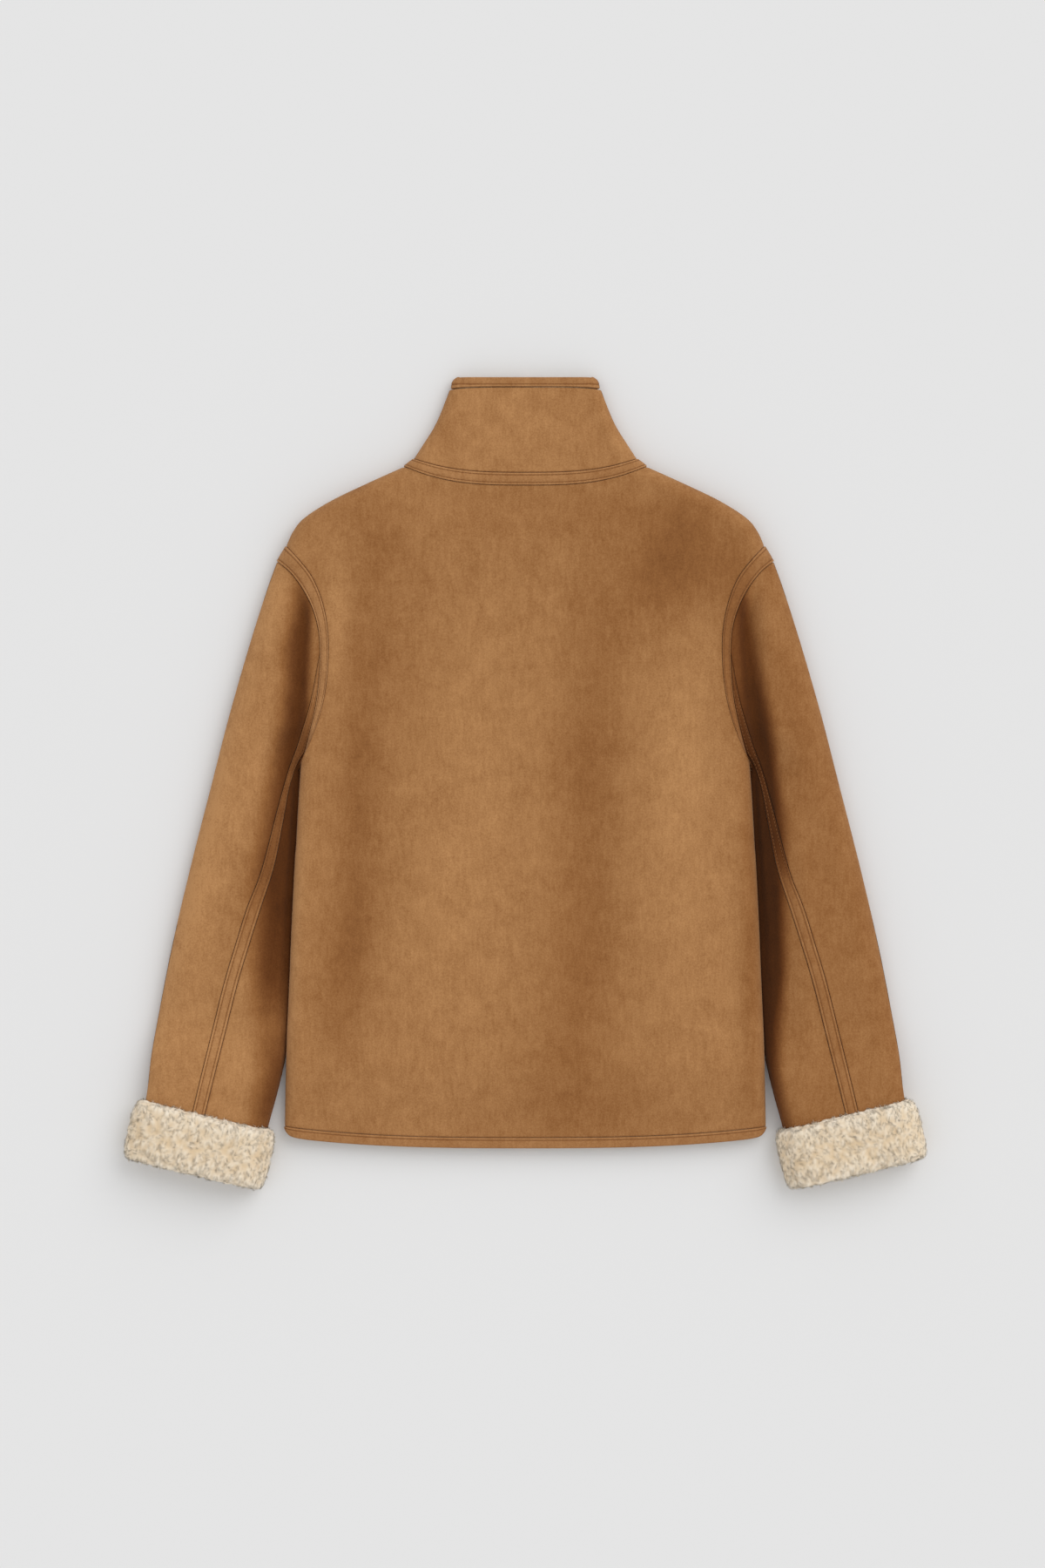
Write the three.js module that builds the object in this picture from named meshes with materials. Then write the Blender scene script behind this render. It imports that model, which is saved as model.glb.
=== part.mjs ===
import * as THREE from "three";

// A short suede jacket with a funnel collar and turned-back pile cuffs, closed and laid on its front.
// Millimetres: +X to the jacket's right sleeve, +Y towards the collar, +Z up from the surface it lies on.
// The origin is on that surface, under the middle of the jacket's outline.

// The cloth is suede bonded to its backing. The pile behind it is not part of the wall.
const CLOTH = 3;
const SEAM_GAP = 0.3;
const BAND_RISE = 1;

// Heights of the closed jacket: its folded edges, its middle, and its open ends.
const EDGE_HEIGHT = 10;
const UNDERARM_EDGE_HEIGHT = 5;
const BACK_HEIGHT = 25;
const HEM_HEIGHT = 15;
const HEM_SLOPE_LENGTH = 85;
const NECK_HEIGHT = 22;
const NEAR_NECK = { from: 230, length: 60, half: 110, fade: 50 };
const COLLAR_TOP_HEIGHT = 14.5;
const COLLAR_TOP_EDGE_HEIGHT = 7;
const SLEEVE_HEIGHT = 27;
const SLEEVE_HEAD_HEIGHT = 22;
const SLEEVE_HEAD_LENGTH = 40;
const WRIST_HEIGHT = 21;
const TO_WRIST = { from: -190, length: 130 };
const WRIST_LIFT = { height: 9, from: -125, length: 70 };

// How far in from a folded edge the cloth becomes level.
const BACK_EDGE_ROUND = 22;
const UNDER_EDGE_ROUND = 12;
const SLEEVE_EDGE_ROUND = 32;
const UNDERARM_ROUND = 5;
const UNDERARM_SLOPE = 50;
const COLLAR_EDGE_ROUND = 12;

// The fronts lap over each other at the middle, the right one outside.
const LAP_RISE_FROM = 58;
const LAP_RISE_TO = 26;

// The hem curves up towards the sides and has rounded corners.
const HEM = { half: 232.2, seam: -341.9, edge: -352.4, rise: 10.7, power: 2.8 };
const HEM_CORNER = { inward: 1.8, up: 4.4, power: 40 };

// The neck seam and the collar's lower seam, with the drop of each from the shoulder to the middle front.
const NECK = { half: 117, corner: 304.7, back: 286, frontDrop: 76.7 };
const COLLAR = { half: 107.5, corner: 312, back: 298.3, frontDrop: 72 };
const COLLAR_TOP = { corner: 378.5, middle: 381 };
const TOP_BAND = { corner: 379.5, middle: 381.3, top: 390.8 };
const NECK_CURVE_POWER = 3;
const COLLAR_CURVE_POWER = 4;

// The sleeve leans out, and its cuff is turned back over its end.
const SLEEVE_TILT = THREE.MathUtils.degToRad(13.5);
const CUFF = { x: 314.3, y: -349.4, pile: 11, pileUnder: 9 };

const SUEDE = { color: 0xa4744a, roughness: 0.95, metalness: 0 };
const SUEDE_BAND = { color: 0x9c6c43, roughness: 0.95, metalness: 0 };
const PILE = { color: 0xe6d6bc, roughness: 1, metalness: 0 };

// Half outlines and seams, as places on the right-hand side of the jacket.
const SHOULDER = [
  { x: 117, y: 304.7 },
  { x: 152.9, y: 288.5 },
  { x: 187.7, y: 271.7 },
  { x: 213.8, y: 254.9 },
  { x: 224.5, y: 241.5 },
  { x: 230.5, y: 228 },
];
const SIDE = [
  { x: 232.2, y: -331.2 },
  { x: 231.4, y: -287 },
  { x: 230.2, y: -245 },
  { x: 227.6, y: -186 },
  { x: 225.5, y: -134 },
  { x: 221.8, y: -63 },
  { x: 218.6, y: -7 },
  { x: 216.5, y: 20 },
];
const ARMHOLE_BODY = [
  { x: 216.5, y: 20 },
  { x: 209, y: 34 },
  { x: 200.5, y: 56 },
  { x: 194, y: 79 },
  { x: 190.5, y: 102 },
  { x: 189.2, y: 124 },
  { x: 189.6, y: 143 },
  { x: 192.5, y: 163 },
  { x: 197.5, y: 181 },
  { x: 205.5, y: 198.5 },
  { x: 217, y: 213.5 },
  { x: 230.5, y: 228 },
];
const ARMHOLE_SLEEVE = [
  { x: 221, y: 15.5 },
  { x: 213.8, y: 30.5 },
  { x: 206.5, y: 52.5 },
  { x: 201.2, y: 77 },
  { x: 198.5, y: 101 },
  { x: 197.6, y: 124 },
  { x: 198.6, y: 143.5 },
  { x: 202.3, y: 160.5 },
  { x: 208.5, y: 176 },
  { x: 217, y: 190.5 },
  { x: 227.5, y: 203.5 },
  { x: 239.4, y: 212.9 },
];
const SLEEVE_OUTER = [
  { x: 239.4, y: 212.9 },
  { x: 249.9, y: 183.5 },
  { x: 265.9, y: 133 },
  { x: 285.2, y: 66 },
  { x: 302.4, y: -1 },
  { x: 323.8, y: -85 },
  { x: 343.1, y: -169 },
  { x: 358.7, y: -253 },
  { x: 365, y: -303.7 },
  { x: 376.9, y: -353.4 },
];
const SLEEVE_INNER = [
  { x: 221, y: 15.5 },
  { x: 221.9, y: -30 },
  { x: 224.2, y: -80 },
  { x: 227, y: -134 },
  { x: 229.3, y: -186 },
  { x: 231.5, y: -235 },
  { x: 233.6, y: -265 },
  { x: 238.5, y: -297 },
  { x: 248.5, y: -334 },
  { x: 259.9, y: -381.5 },
];
const SEAM_BAND_OUTER = [
  { x: 197.6, y: 124 },
  { x: 206.5, y: 78 },
  { x: 219, y: 38 },
  { x: 229, y: 10 },
  { x: 238.5, y: -25 },
  { x: 254, y: -85 },
  { x: 267.3, y: -120 },
  { x: 278.5, y: -156 },
  { x: 293, y: -206 },
  { x: 320, y: -318 },
  { x: 331.2, y: -364.4 },
];
const SEAM_BAND_INNER = [
  { x: 213.8, y: 30.5 },
  { x: 221.8, y: 17.5 },
  { x: 226, y: 3 },
  { x: 229, y: -12 },
  { x: 233.5, y: -38 },
  { x: 242, y: -81 },
  { x: 254.3, y: -120 },
  { x: 265.5, y: -156 },
  { x: 280, y: -206 },
  { x: 308.3, y: -321 },
  { x: 319.4, y: -367.2 },
];
const UNDER_SEAM = [
  { x: 208.5, y: 176 },
  { x: 232, y: 95 },
  { x: 252, y: 10 },
  { x: 272, y: -80 },
  { x: 291, y: -170 },
  { x: 308, y: -260 },
  { x: 325.5, y: -365.8 },
];
const COLLAR_SIDE = [
  { x: 107.5, y: 312 },
  { x: 98.3, y: 326.3 },
  { x: 87.8, y: 343.1 },
  { x: 80.2, y: 359.9 },
  { x: 73.2, y: 378.5 },
];
const TOP_BAND_SIDE = [
  { x: 70.8, y: 379.5 },
  { x: 70.3, y: 385 },
  { x: 67.8, y: 388.8 },
  { x: 64, y: 390.8 },
];

// Soft folds of the back: where each runs, how far it leans, its length and width, and how high it stands.
const BACK_FOLDS = [
  { x: -178, y: -70, lean: 0.04, reach: 250, width: 24, rise: -3 },
  { x: -95, y: -110, lean: 0.02, reach: 240, width: 44, rise: 2.5 },
  { x: 50, y: -60, lean: -0.06, reach: 290, width: 34, rise: -3.2 },
  { x: 128, y: -40, lean: 0.03, reach: 260, width: 40, rise: 2.2 },
];
// The crease where the sleeve is turned down beside the back.
const SLEEVE_CREASE = [
  { x: 211, y: 182 },
  { x: 216.5, y: 133 },
  { x: 219.4, y: 83 },
  { x: 225, y: 32 },
  { x: 229, y: -1 },
];
const CREASE = { depth: 8, width: 10, fromArmhole: 12, leastPadding: 10 };

// Where the mesh has its lines, as shares: close together at the folds and wide apart between.
const BACK_SHARES = [0, 0.12, 0.24, 0.35, 0.43, 0.475, 0.498, NECK.half / 230.5];
const SHOULDER_SHARES = [0.62, 0.74, 0.85, 0.92, 0.965, 0.99, 1];
const FRONT_NECK_ANGLES = [-4.9, 12.8, 29.7, 45, 60, 75, 84, 90];
const FRONT_SHOULDER_SHARES = [0.7, 0.82, 0.9, 0.945, 0.97, 0.99, 1];
const TOP_SLEEVE_STEPS = [0, 0.3, 0.55, 0.75, 0.88, 0.96, 1];
const TOP_SLEEVE_UNDER_STEPS = [0, 0.4, 0.75, 0.9, 0.97, 1];
const BAND_ARMHOLE_STEPS = [0, 0.25, 0.5, 0.75, 1];
const UNDER_SLEEVE_STEPS = [0, 0.4, 0.7, 0.9, 1];
const UNDER_SLEEVE_UNDER_STEPS = [0, 0.5, 0.8, 0.93, 1];
const BACK_SIDE_STEPS = 10;
const FRONT_SIDE_STEPS = 6;
const SLEEVE_ROWS = 16;
const COLLAR_ROWS = 4;
const TOP_BAND_ROWS = 3;

// Where the seam band and the seam under the sleeve meet the armhole, as rows of the armhole table.
const BAND_FROM_ROW = 1;
const BAND_TO_ROW = 5;
const UNDER_SEAM_ROW = 8;
const BAND_TIP = 2;

const smooth = (t) => THREE.MathUtils.smoothstep(t, 0, 1);
const mix = THREE.MathUtils.lerp;
const spline = (rows) => new THREE.SplineCurve(rows.map((r) => new THREE.Vector2(r.x, r.y)));
const mixPoints = (a, b, t) => new THREE.Vector2(mix(a.x, b.x, t), mix(a.y, b.y, t));
const range = (count) => Array.from({ length: count + 1 }, (_, i) => i / count);
const unsigned = (p) => new THREE.Vector2(Math.abs(p.x), p.y);

// A quarter round: 0 at the edge, 1 where the distance reaches the radius.
function rounded(distance, radius) {
  const short = 1 - Math.min(1, distance / radius);
  return Math.sqrt(Math.max(0, 1 - short * short));
}

// The nearest place of a fold line: its distance, and the way in from it.
// Each line runs with the cloth on its right. A place this close to the line is on it.
const ON_THE_LINE = 0.3;
function nearest(line, p) {
  let best = { distance: Infinity };
  for (let i = 1; i < line.points.length; i++) {
    const from = line.points[i - 1];
    const along = line.points[i].clone().sub(from);
    const t = THREE.MathUtils.clamp(p.clone().sub(from).dot(along) / along.lengthSq(), 0, 1);
    const foot = from.clone().addScaledVector(along, t);
    const distance = foot.distanceTo(p);
    if (distance < best.distance) best = { distance, foot, along };
  }
  if (best.distance > ON_THE_LINE) {
    return { distance: best.distance, inward: p.clone().sub(best.foot).normalize() };
  }
  const atEnd = line.endInward && line.points.at(-1).distanceTo(p) < ON_THE_LINE;
  const across = new THREE.Vector2(best.along.y, -best.along.x);
  return { distance: 0, inward: (atEnd ? line.endInward.clone() : across).normalize() };
}

const LINE_POINTS = 60;
const lineOf = (rows) => spline(rows).getPoints(LINE_POINTS);
const firstStep = (rows) => new THREE.Vector2(rows[1].x - rows[0].x, rows[1].y - rows[0].y);
const hemCorner = new THREE.Vector2(
  HEM.half - HEM_CORNER.inward,
  HEM.edge + HEM.rise + HEM_CORNER.up,
);
const outerLine = { points: [...lineOf(SHOULDER), ...lineOf(SLEEVE_OUTER)] };
const sideLine = {
  points: [...lineOf(SIDE).reverse(), hemCorner],
};
const underarmLine = {
  points: lineOf(SLEEVE_INNER).reverse(),
  endInward: firstStep(ARMHOLE_SLEEVE),
};
const collarLine = { points: lineOf(COLLAR_SIDE).reverse() };
const topBandLine = { points: lineOf(TOP_BAND_SIDE).reverse() };
const armholeLine = { points: lineOf(ARMHOLE_SLEEVE) };
const creaseLine = { points: lineOf(SLEEVE_CREASE) };
const sideTop = new THREE.Vector2(SIDE.at(-1).x, SIDE.at(-1).y);

function foldRise(p) {
  let rise = 0;
  for (const f of BACK_FOLDS) {
    const across = (p.x - f.x - f.lean * (p.y - f.y)) / f.width;
    const along = Math.min(1, Math.abs(p.y - f.y) / f.reach);
    rise += f.rise * Math.exp(-across * across) * (1 - smooth(along));
  }
  return rise;
}

function backTop(p, edgeDistance) {
  const lowered = mix(HEM_HEIGHT, BACK_HEIGHT, smooth((p.y - HEM.edge) / HEM_SLOPE_LENGTH));
  const beside = smooth((Math.abs(p.x) - NEAR_NECK.half) / NEAR_NECK.fade);
  const nearNeck = smooth((p.y - NEAR_NECK.from) / NEAR_NECK.length) * (1 - beside);
  const level = mix(lowered + foldRise(p), NECK_HEIGHT, nearNeck);
  return mix(EDGE_HEIGHT, level, rounded(edgeDistance, BACK_EDGE_ROUND));
}

// How much the left front is raised where it lies on the right one.
const lapRise = (p) => (CLOTH + SEAM_GAP) * smooth((p.x + LAP_RISE_FROM) / (LAP_RISE_FROM - LAP_RISE_TO));

const alongSleeve = (p) => (p.x - CUFF.x) * Math.sin(SLEEVE_TILT) - (p.y - CUFF.y) * Math.cos(SLEEVE_TILT);
const wristLift = (p) => WRIST_LIFT.height * smooth((alongSleeve(p) - WRIST_LIFT.from) / WRIST_LIFT.length);

function sleeveTop(p, outer, inner) {
  const fromArmhole = nearest(armholeLine, p).distance;
  const toWrist = smooth((alongSleeve(p) - TO_WRIST.from) / TO_WRIST.length);
  const padded = mix(SLEEVE_HEAD_HEIGHT, SLEEVE_HEIGHT, smooth(fromArmhole / SLEEVE_HEAD_LENGTH));
  const height = mix(padded, WRIST_HEIGHT, toWrist);
  const inward = mix(smooth(inner / UNDERARM_SLOPE), rounded(inner, SLEEVE_EDGE_ROUND), toWrist);
  const foot = mix(
    UNDERARM_EDGE_HEIGHT * (1 + rounded(inner, UNDERARM_ROUND)),
    EDGE_HEIGHT,
    smooth((inner - UNDERARM_ROUND) / UNDERARM_ROUND),
  );
  const padding = (height - EDGE_HEIGHT) * inward * rounded(outer, SLEEVE_EDGE_ROUND);
  const crease = nearest(creaseLine, p).distance / CREASE.width;
  const sunk = CREASE.depth * Math.exp(-crease * crease) * smooth(fromArmhole / CREASE.fromArmhole);
  return foot + padding - sunk * smooth(padding / CREASE.leastPadding) + wristLift(p);
}

function sleeveBottom(p, outer, inner) {
  const outerEdge = EDGE_HEIGHT * (1 - rounded(outer, UNDER_EDGE_ROUND));
  const innerEdge = UNDERARM_EDGE_HEIGHT * (1 - rounded(inner, UNDERARM_ROUND));
  return Math.max(outerEdge, innerEdge) + wristLift(p);
}

// One place of a wall, as its outer and inner points. Away from the folds the inner one lies straight
// under the outer one (up = 1) or over it (up = -1), and at a fold beside it.
function wallCell(q, z, up, folds, rise) {
  const turn = new THREE.Vector2();
  let level = 1;
  for (const { near, radius } of folds) {
    const bend = 1 - Math.min(1, near.distance / radius);
    turn.addScaledVector(near.inward, bend);
    level *= Math.sqrt(1 - bend * bend);
  }
  return {
    outer: new THREE.Vector3(q.x, q.y, z + up * rise * level),
    inner: new THREE.Vector3(q.x + turn.x * CLOTH, q.y + turn.y * CLOTH, z - up * CLOTH * level),
  };
}

const mirrorCell = (cell) => ({
  outer: cell.outer.clone().setX(-cell.outer.x),
  inner: cell.inner.clone().setX(-cell.inner.x),
});

function bodyFold(q) {
  const near = [outerLine, sideLine].map((line) => nearest(line, q));
  const fold = near[0].distance < near[1].distance ? near[0] : near[1];
  if (q.distanceTo(sideTop) < ON_THE_LINE) fold.inward = firstStep(ARMHOLE_BODY).normalize();
  return fold;
}

function backCell(p, rise = 0) {
  const near = bodyFold(unsigned(p));
  const folds = [{ near, radius: BACK_EDGE_ROUND }];
  const cell = wallCell(unsigned(p), backTop(p, near.distance), 1, folds, rise);
  return p.x < 0 ? mirrorCell(cell) : cell;
}

function frontCell(p, left) {
  const near = bodyFold(unsigned(p));
  const folds = [{ near, radius: UNDER_EDGE_ROUND }];
  const z = EDGE_HEIGHT * (1 - rounded(near.distance, UNDER_EDGE_ROUND));
  const cell = wallCell(unsigned(p), z + (left ? lapRise(p) : 0), -1, folds, 0);
  return p.x < 0 ? mirrorCell(cell) : cell;
}

function sleeveCell(p, up, rise = 0) {
  const outer = nearest(outerLine, p);
  const inner = nearest(underarmLine, p);
  const height = up > 0 ? sleeveTop : sleeveBottom;
  const folds = [
    { near: outer, radius: up > 0 ? SLEEVE_EDGE_ROUND : UNDER_EDGE_ROUND },
    { near: inner, radius: UNDERARM_ROUND },
  ];
  return wallCell(p, height(p, outer.distance, inner.distance), up, folds, rise);
}

// The collar narrows in height towards its top, and its sides are folded as the body's are.
function collarCell(p, up, left, line, rise = 0) {
  const near = nearest(line, unsigned(p));
  const share = THREE.MathUtils.clamp((p.y - COLLAR.back) / (TOP_BAND.top - COLLAR.back), 0, 1);
  const edge = mix(EDGE_HEIGHT, COLLAR_TOP_EDGE_HEIGHT, share);
  const round = rounded(near.distance, COLLAR_EDGE_ROUND);
  const top = mix(edge, mix(NECK_HEIGHT, COLLAR_TOP_HEIGHT, share), round);
  const bottom = edge * (1 - round) + (left ? lapRise(p) : 0);
  const folds = [{ near, radius: COLLAR_EDGE_ROUND }];
  const cell = wallCell(unsigned(p), up > 0 ? top : bottom, up, folds, rise);
  return p.x < 0 ? mirrorCell(cell) : cell;
}

// A patch of plan places between four edges, each given at the patch's own lines.
function patch({ lower, upper, left, right, us, vs }) {
  return vs.map((v, j) => us.map((u, i) => {
    const lowEnds = mixPoints(lower[0], lower.at(-1), u);
    const highEnds = mixPoints(upper[0], upper.at(-1), u);
    const between = mixPoints(lower[i], upper[i], v).add(mixPoints(left[j], right[j], u));
    return between.sub(mixPoints(lowEnds, highEnds, v));
  }));
}

// Draws a wall's edges back by half a seam's gap, square to each edge.
// An edge is named by the row or column it is.
function drawBack(cells, edges) {
  const last = { row: cells.length - 1, column: cells[0].length - 1 };
  const moves = [];
  for (const edge of edges) {
    const alongRow = edge.endsWith("Row");
    const [length, fixed] = alongRow ? [last.column, last.row] : [last.row, last.column];
    const atEnd = edge.startsWith("last");
    const at = (k, inward) => {
      const line = atEnd ? fixed - inward : inward;
      return alongRow ? cells[line][k] : cells[k][line];
    };
    for (let k = 0; k <= length; k++) {
      const cell = at(k, 0);
      const way = at(k, 1).outer.clone().sub(cell.outer);
      const after = at(Math.min(length, k + 1), 0).outer;
      const tangent = after.clone().sub(at(Math.max(0, k - 1), 0).outer).normalize();
      way.addScaledVector(tangent, -way.dot(tangent));
      moves.push({ cell, way: way.setLength(SEAM_GAP / 2) });
    }
  }
  for (const { cell, way } of moves) {
    cell.outer.add(way);
    cell.inner.add(way);
  }
  return cells;
}

// Turns a grid of wall cells into a closed solid. A ring's last column joins its first.
// Each four-sided face is split along its shorter diagonal, so that both sides of a seam match.
function wallGeometry(cells, ring = false) {
  const rows = cells.length;
  const columns = cells[0].length;
  const positions = [];
  for (const side of ["outer", "inner"]) {
    for (const row of cells) for (const cell of row) positions.push(...cell[side].toArray());
  }
  const faces = [];
  const point = (k) => new THREE.Vector3().fromArray(positions, 3 * k);
  const quad = (a, b, c, d) => {
    const shortest = point(a).distanceTo(point(c)) < point(b).distanceTo(point(d)) - 1e-4;
    faces.push(...(shortest ? [a, b, c, a, c, d] : [b, c, d, b, d, a]));
  };
  const at = (side, j, i) => (side * rows + j) * columns + (i % columns);
  const lastColumn = ring ? columns : columns - 1;
  for (let j = 0; j < rows - 1; j++) {
    for (let i = 0; i < lastColumn; i++) {
      quad(at(0, j, i), at(0, j, i + 1), at(0, j + 1, i + 1), at(0, j + 1, i));
      quad(at(1, j, i), at(1, j + 1, i), at(1, j + 1, i + 1), at(1, j, i + 1));
    }
  }
  for (let i = 0; i < lastColumn; i++) {
    const end = rows - 1;
    quad(at(0, 0, i), at(1, 0, i), at(1, 0, i + 1), at(0, 0, i + 1));
    quad(at(0, end, i), at(0, end, i + 1), at(1, end, i + 1), at(1, end, i));
  }
  if (!ring) {
    for (let j = 0; j < rows - 1; j++) {
      quad(at(0, j, 0), at(0, j + 1, 0), at(1, j + 1, 0), at(1, j, 0));
      quad(at(0, j, columns - 1), at(1, j, columns - 1), at(1, j + 1, columns - 1), at(0, j + 1, columns - 1));
    }
  }
  return closedGeometry(positions, faces);
}

// A geometry from shared points, turned face out where its faces enclose a negative volume.
function closedGeometry(positions, faces) {
  const point = (k) => new THREE.Vector3().fromArray(positions, 3 * k);
  let volume = 0;
  for (let f = 0; f < faces.length; f += 3) {
    volume += point(faces[f]).dot(point(faces[f + 1]).cross(point(faces[f + 2])));
  }
  if (volume < 0) faces.reverse();
  const geometry = new THREE.BufferGeometry();
  geometry.setAttribute("position", new THREE.Float32BufferAttribute(positions, 3));
  geometry.setIndex(faces);
  geometry.computeVertexNormals();
  return geometry;
}

const jacket = new THREE.Group();

function add(name, geometry, finish) {
  const mesh = new THREE.Mesh(geometry, new THREE.MeshStandardMaterial({ ...finish, side: THREE.DoubleSide }));
  mesh.name = name;
  jacket.add(mesh);
}

const SIDES = [{ name: "right", sign: 1 }, { name: "left", sign: -1 }];
const mirrorFor = (sign, cells) => (sign > 0 ? cells : cells.map((row) => row.map(mirrorCell)));

// Places along the armhole from the underarm to the shoulder tip, on the body or on the sleeve.
const bandFrom = BAND_FROM_ROW / (ARMHOLE_SLEEVE.length - 1);
const bandTo = BAND_TO_ROW / (ARMHOLE_SLEEVE.length - 1);
const underSeamAt = UNDER_SEAM_ROW / (ARMHOLE_SLEEVE.length - 1);
const armholeTop = [
  ...UNDER_SLEEVE_STEPS.slice(1).reverse().map((u) => mix(bandFrom, 0, u)),
  ...BAND_ARMHOLE_STEPS.slice(1).reverse().map((u) => mix(bandTo, bandFrom, u)),
  ...TOP_SLEEVE_STEPS.map((u) => mix(bandTo, 1, u)),
];
const armholeUnder = [
  ...UNDER_SLEEVE_UNDER_STEPS.slice(1).reverse().map((u) => mix(underSeamAt, 0, u)),
  ...TOP_SLEEVE_UNDER_STEPS.map((u) => mix(underSeamAt, 1, u)),
];
const armholeBody = spline(ARMHOLE_BODY);
const armholeSleeve = spline(ARMHOLE_SLEEVE);

// The body's edge from the hem seam up the side and round the armhole.
function bodySide(sideSteps, armholePlaces) {
  const side = spline(SIDE);
  return [
    ...range(sideSteps).slice(0, -1).map((t) => side.getPointAt(t)),
    ...armholePlaces.map((t) => armholeBody.getPoint(t)),
  ];
}

const shoulderPoints = lineOf(SHOULDER);
function shoulderAt(share) {
  const x = share * SHOULDER.at(-1).x;
  const k = Math.max(1, shoulderPoints.findIndex((p) => p.x >= x - 1e-6));
  const [a, b] = [shoulderPoints[k - 1], shoulderPoints[k]];
  return mixPoints(a, b, (x - a.x) / (b.x - a.x));
}

const curveUp = (line, share) => mix(line.back, line.corner, Math.abs(share) ** NECK_CURVE_POWER);
const hemRise = (s) => HEM.rise * Math.abs(s) ** HEM.power;
const hemSeam = (s) => new THREE.Vector2(HEM.half * s, HEM.seam + hemRise(s));
function hemEdge(s) {
  const corner = Math.abs(s) ** HEM_CORNER.power;
  const x = s * (HEM.half - HEM_CORNER.inward * corner);
  return new THREE.Vector2(x, HEM.edge + hemRise(s) + HEM_CORNER.up * corner);
}

// The back, in one piece from the collar to the hem.
const halfShares = [...BACK_SHARES, ...SHOULDER_SHARES];
const backShares = [...halfShares.slice(1).reverse().map((s) => -s), ...halfShares];
function makeBack() {
  const rightEdge = bodySide(BACK_SIDE_STEPS, armholeTop);
  const top = backShares.map((s) => {
    const share = Math.abs(s);
    if (share > BACK_SHARES.at(-1)) return shoulderAt(share).multiply(new THREE.Vector2(Math.sign(s), 1));
    const neckShare = s / BACK_SHARES.at(-1);
    return new THREE.Vector2(NECK.half * neckShare, curveUp(NECK, neckShare));
  });
  const heights = rightEdge.map((p) => (p.y - rightEdge[0].y) / (rightEdge.at(-1).y - rightEdge[0].y));
  const plan = patch({
    lower: backShares.map(hemSeam),
    upper: top,
    left: rightEdge.map((p) => new THREE.Vector2(-p.x, p.y)),
    right: rightEdge,
    us: backShares.map((s) => (s + 1) / 2),
    vs: heights,
  });
  const cells = plan.map((row) => row.map((p) => backCell(p)));
  drawBack(cells, ["firstRow", "lastRow", "firstColumn", "lastColumn"]);
  add("back", wallGeometry(cells), SUEDE);

  const band = [0, 0.5, 1].map((v) => backShares.map((s) => backCell(mixPoints(hemSeam(s), hemEdge(s), v), BAND_RISE)));
  drawBack(band, ["firstRow", "firstColumn", "lastColumn"]);
  add("hem_band_back", wallGeometry(band), SUEDE_BAND);
}

// The fronts, which lie on the surface. The right one reaches past the middle under the left one.
const neckAngles = FRONT_NECK_ANGLES.map((a) => THREE.MathUtils.degToRad(a));
const frontShares = [
  ...neckAngles.map((a) => (NECK.half * Math.sin(a)) / SHOULDER.at(-1).x),
  ...FRONT_SHOULDER_SHARES,
];
function makeFronts() {
  const sideEdge = bodySide(FRONT_SIDE_STEPS, armholeUnder);
  const heights = sideEdge.map((p) => (p.y - sideEdge[0].y) / (sideEdge.at(-1).y - sideEdge[0].y));
  const lower = frontShares.map(hemSeam);
  const upper = [
    ...neckAngles.map((a) => new THREE.Vector2(
      NECK.half * Math.sin(a),
      NECK.corner - NECK.frontDrop * Math.cos(a),
    )),
    ...FRONT_SHOULDER_SHARES.map(shoulderAt),
  ];
  const us = frontShares.map((s) => (s - frontShares[0]) / (1 - frontShares[0]));
  const middle = heights.map((v) => mixPoints(lower[0], upper[0], v));
  const plan = patch({ lower, upper, left: middle, right: sideEdge, us, vs: heights });
  for (const { name, sign } of SIDES) {
    const place = (p) => frontCell(new THREE.Vector2(sign * p.x, p.y), sign < 0);
    const cells = plan.map((row) => row.map(place));
    drawBack(cells, ["firstRow", "lastRow", "lastColumn"]);
    add(`front_${name}`, wallGeometry(cells), SUEDE);

    const band = [0, 1].map((v) => frontShares.map((s) => place(mixPoints(hemSeam(s), hemEdge(s), v))));
    drawBack(band, ["firstRow", "lastColumn"]);
    add(`hem_band_front_${name}`, wallGeometry(band), SUEDE_BAND);
  }
}

// The seam band leaves the armhole at a sharp tip, follows it down, and then runs to the wrist.
// Its two edges give the rows of the sleeve's cuts beside it.
const evenRows = range(SLEEVE_ROWS);
const bandInnerEdge = [
  ...BAND_ARMHOLE_STEPS.slice(0, -1).map((u) => armholeSleeve.getPoint(mix(bandTo, bandFrom, u))),
  ...evenRows.map((v) => spline(SEAM_BAND_INNER).getPointAt(v)),
];
const bandOuterEdge = (() => {
  const line = lineOf(SEAM_BAND_OUTER);
  const slant = line.at(-1).y - bandInnerEdge.at(-1).y;
  return bandInnerEdge.map((p, k) => {
    const y = p.y + (slant * k) / (bandInnerEdge.length - 1);
    const next = line.findIndex((q, i) => i > 0 && (q.y <= y || i === line.length - 1));
    const [from, to] = [line[next - 1], line[next]];
    return mixPoints(from, to, (y - from.y) / (to.y - from.y));
  });
})();
const topRows = bandOuterEdge.map((p) => (
  (p.y - bandOuterEdge[0].y) / (bandOuterEdge.at(-1).y - bandOuterEdge[0].y)
));

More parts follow.
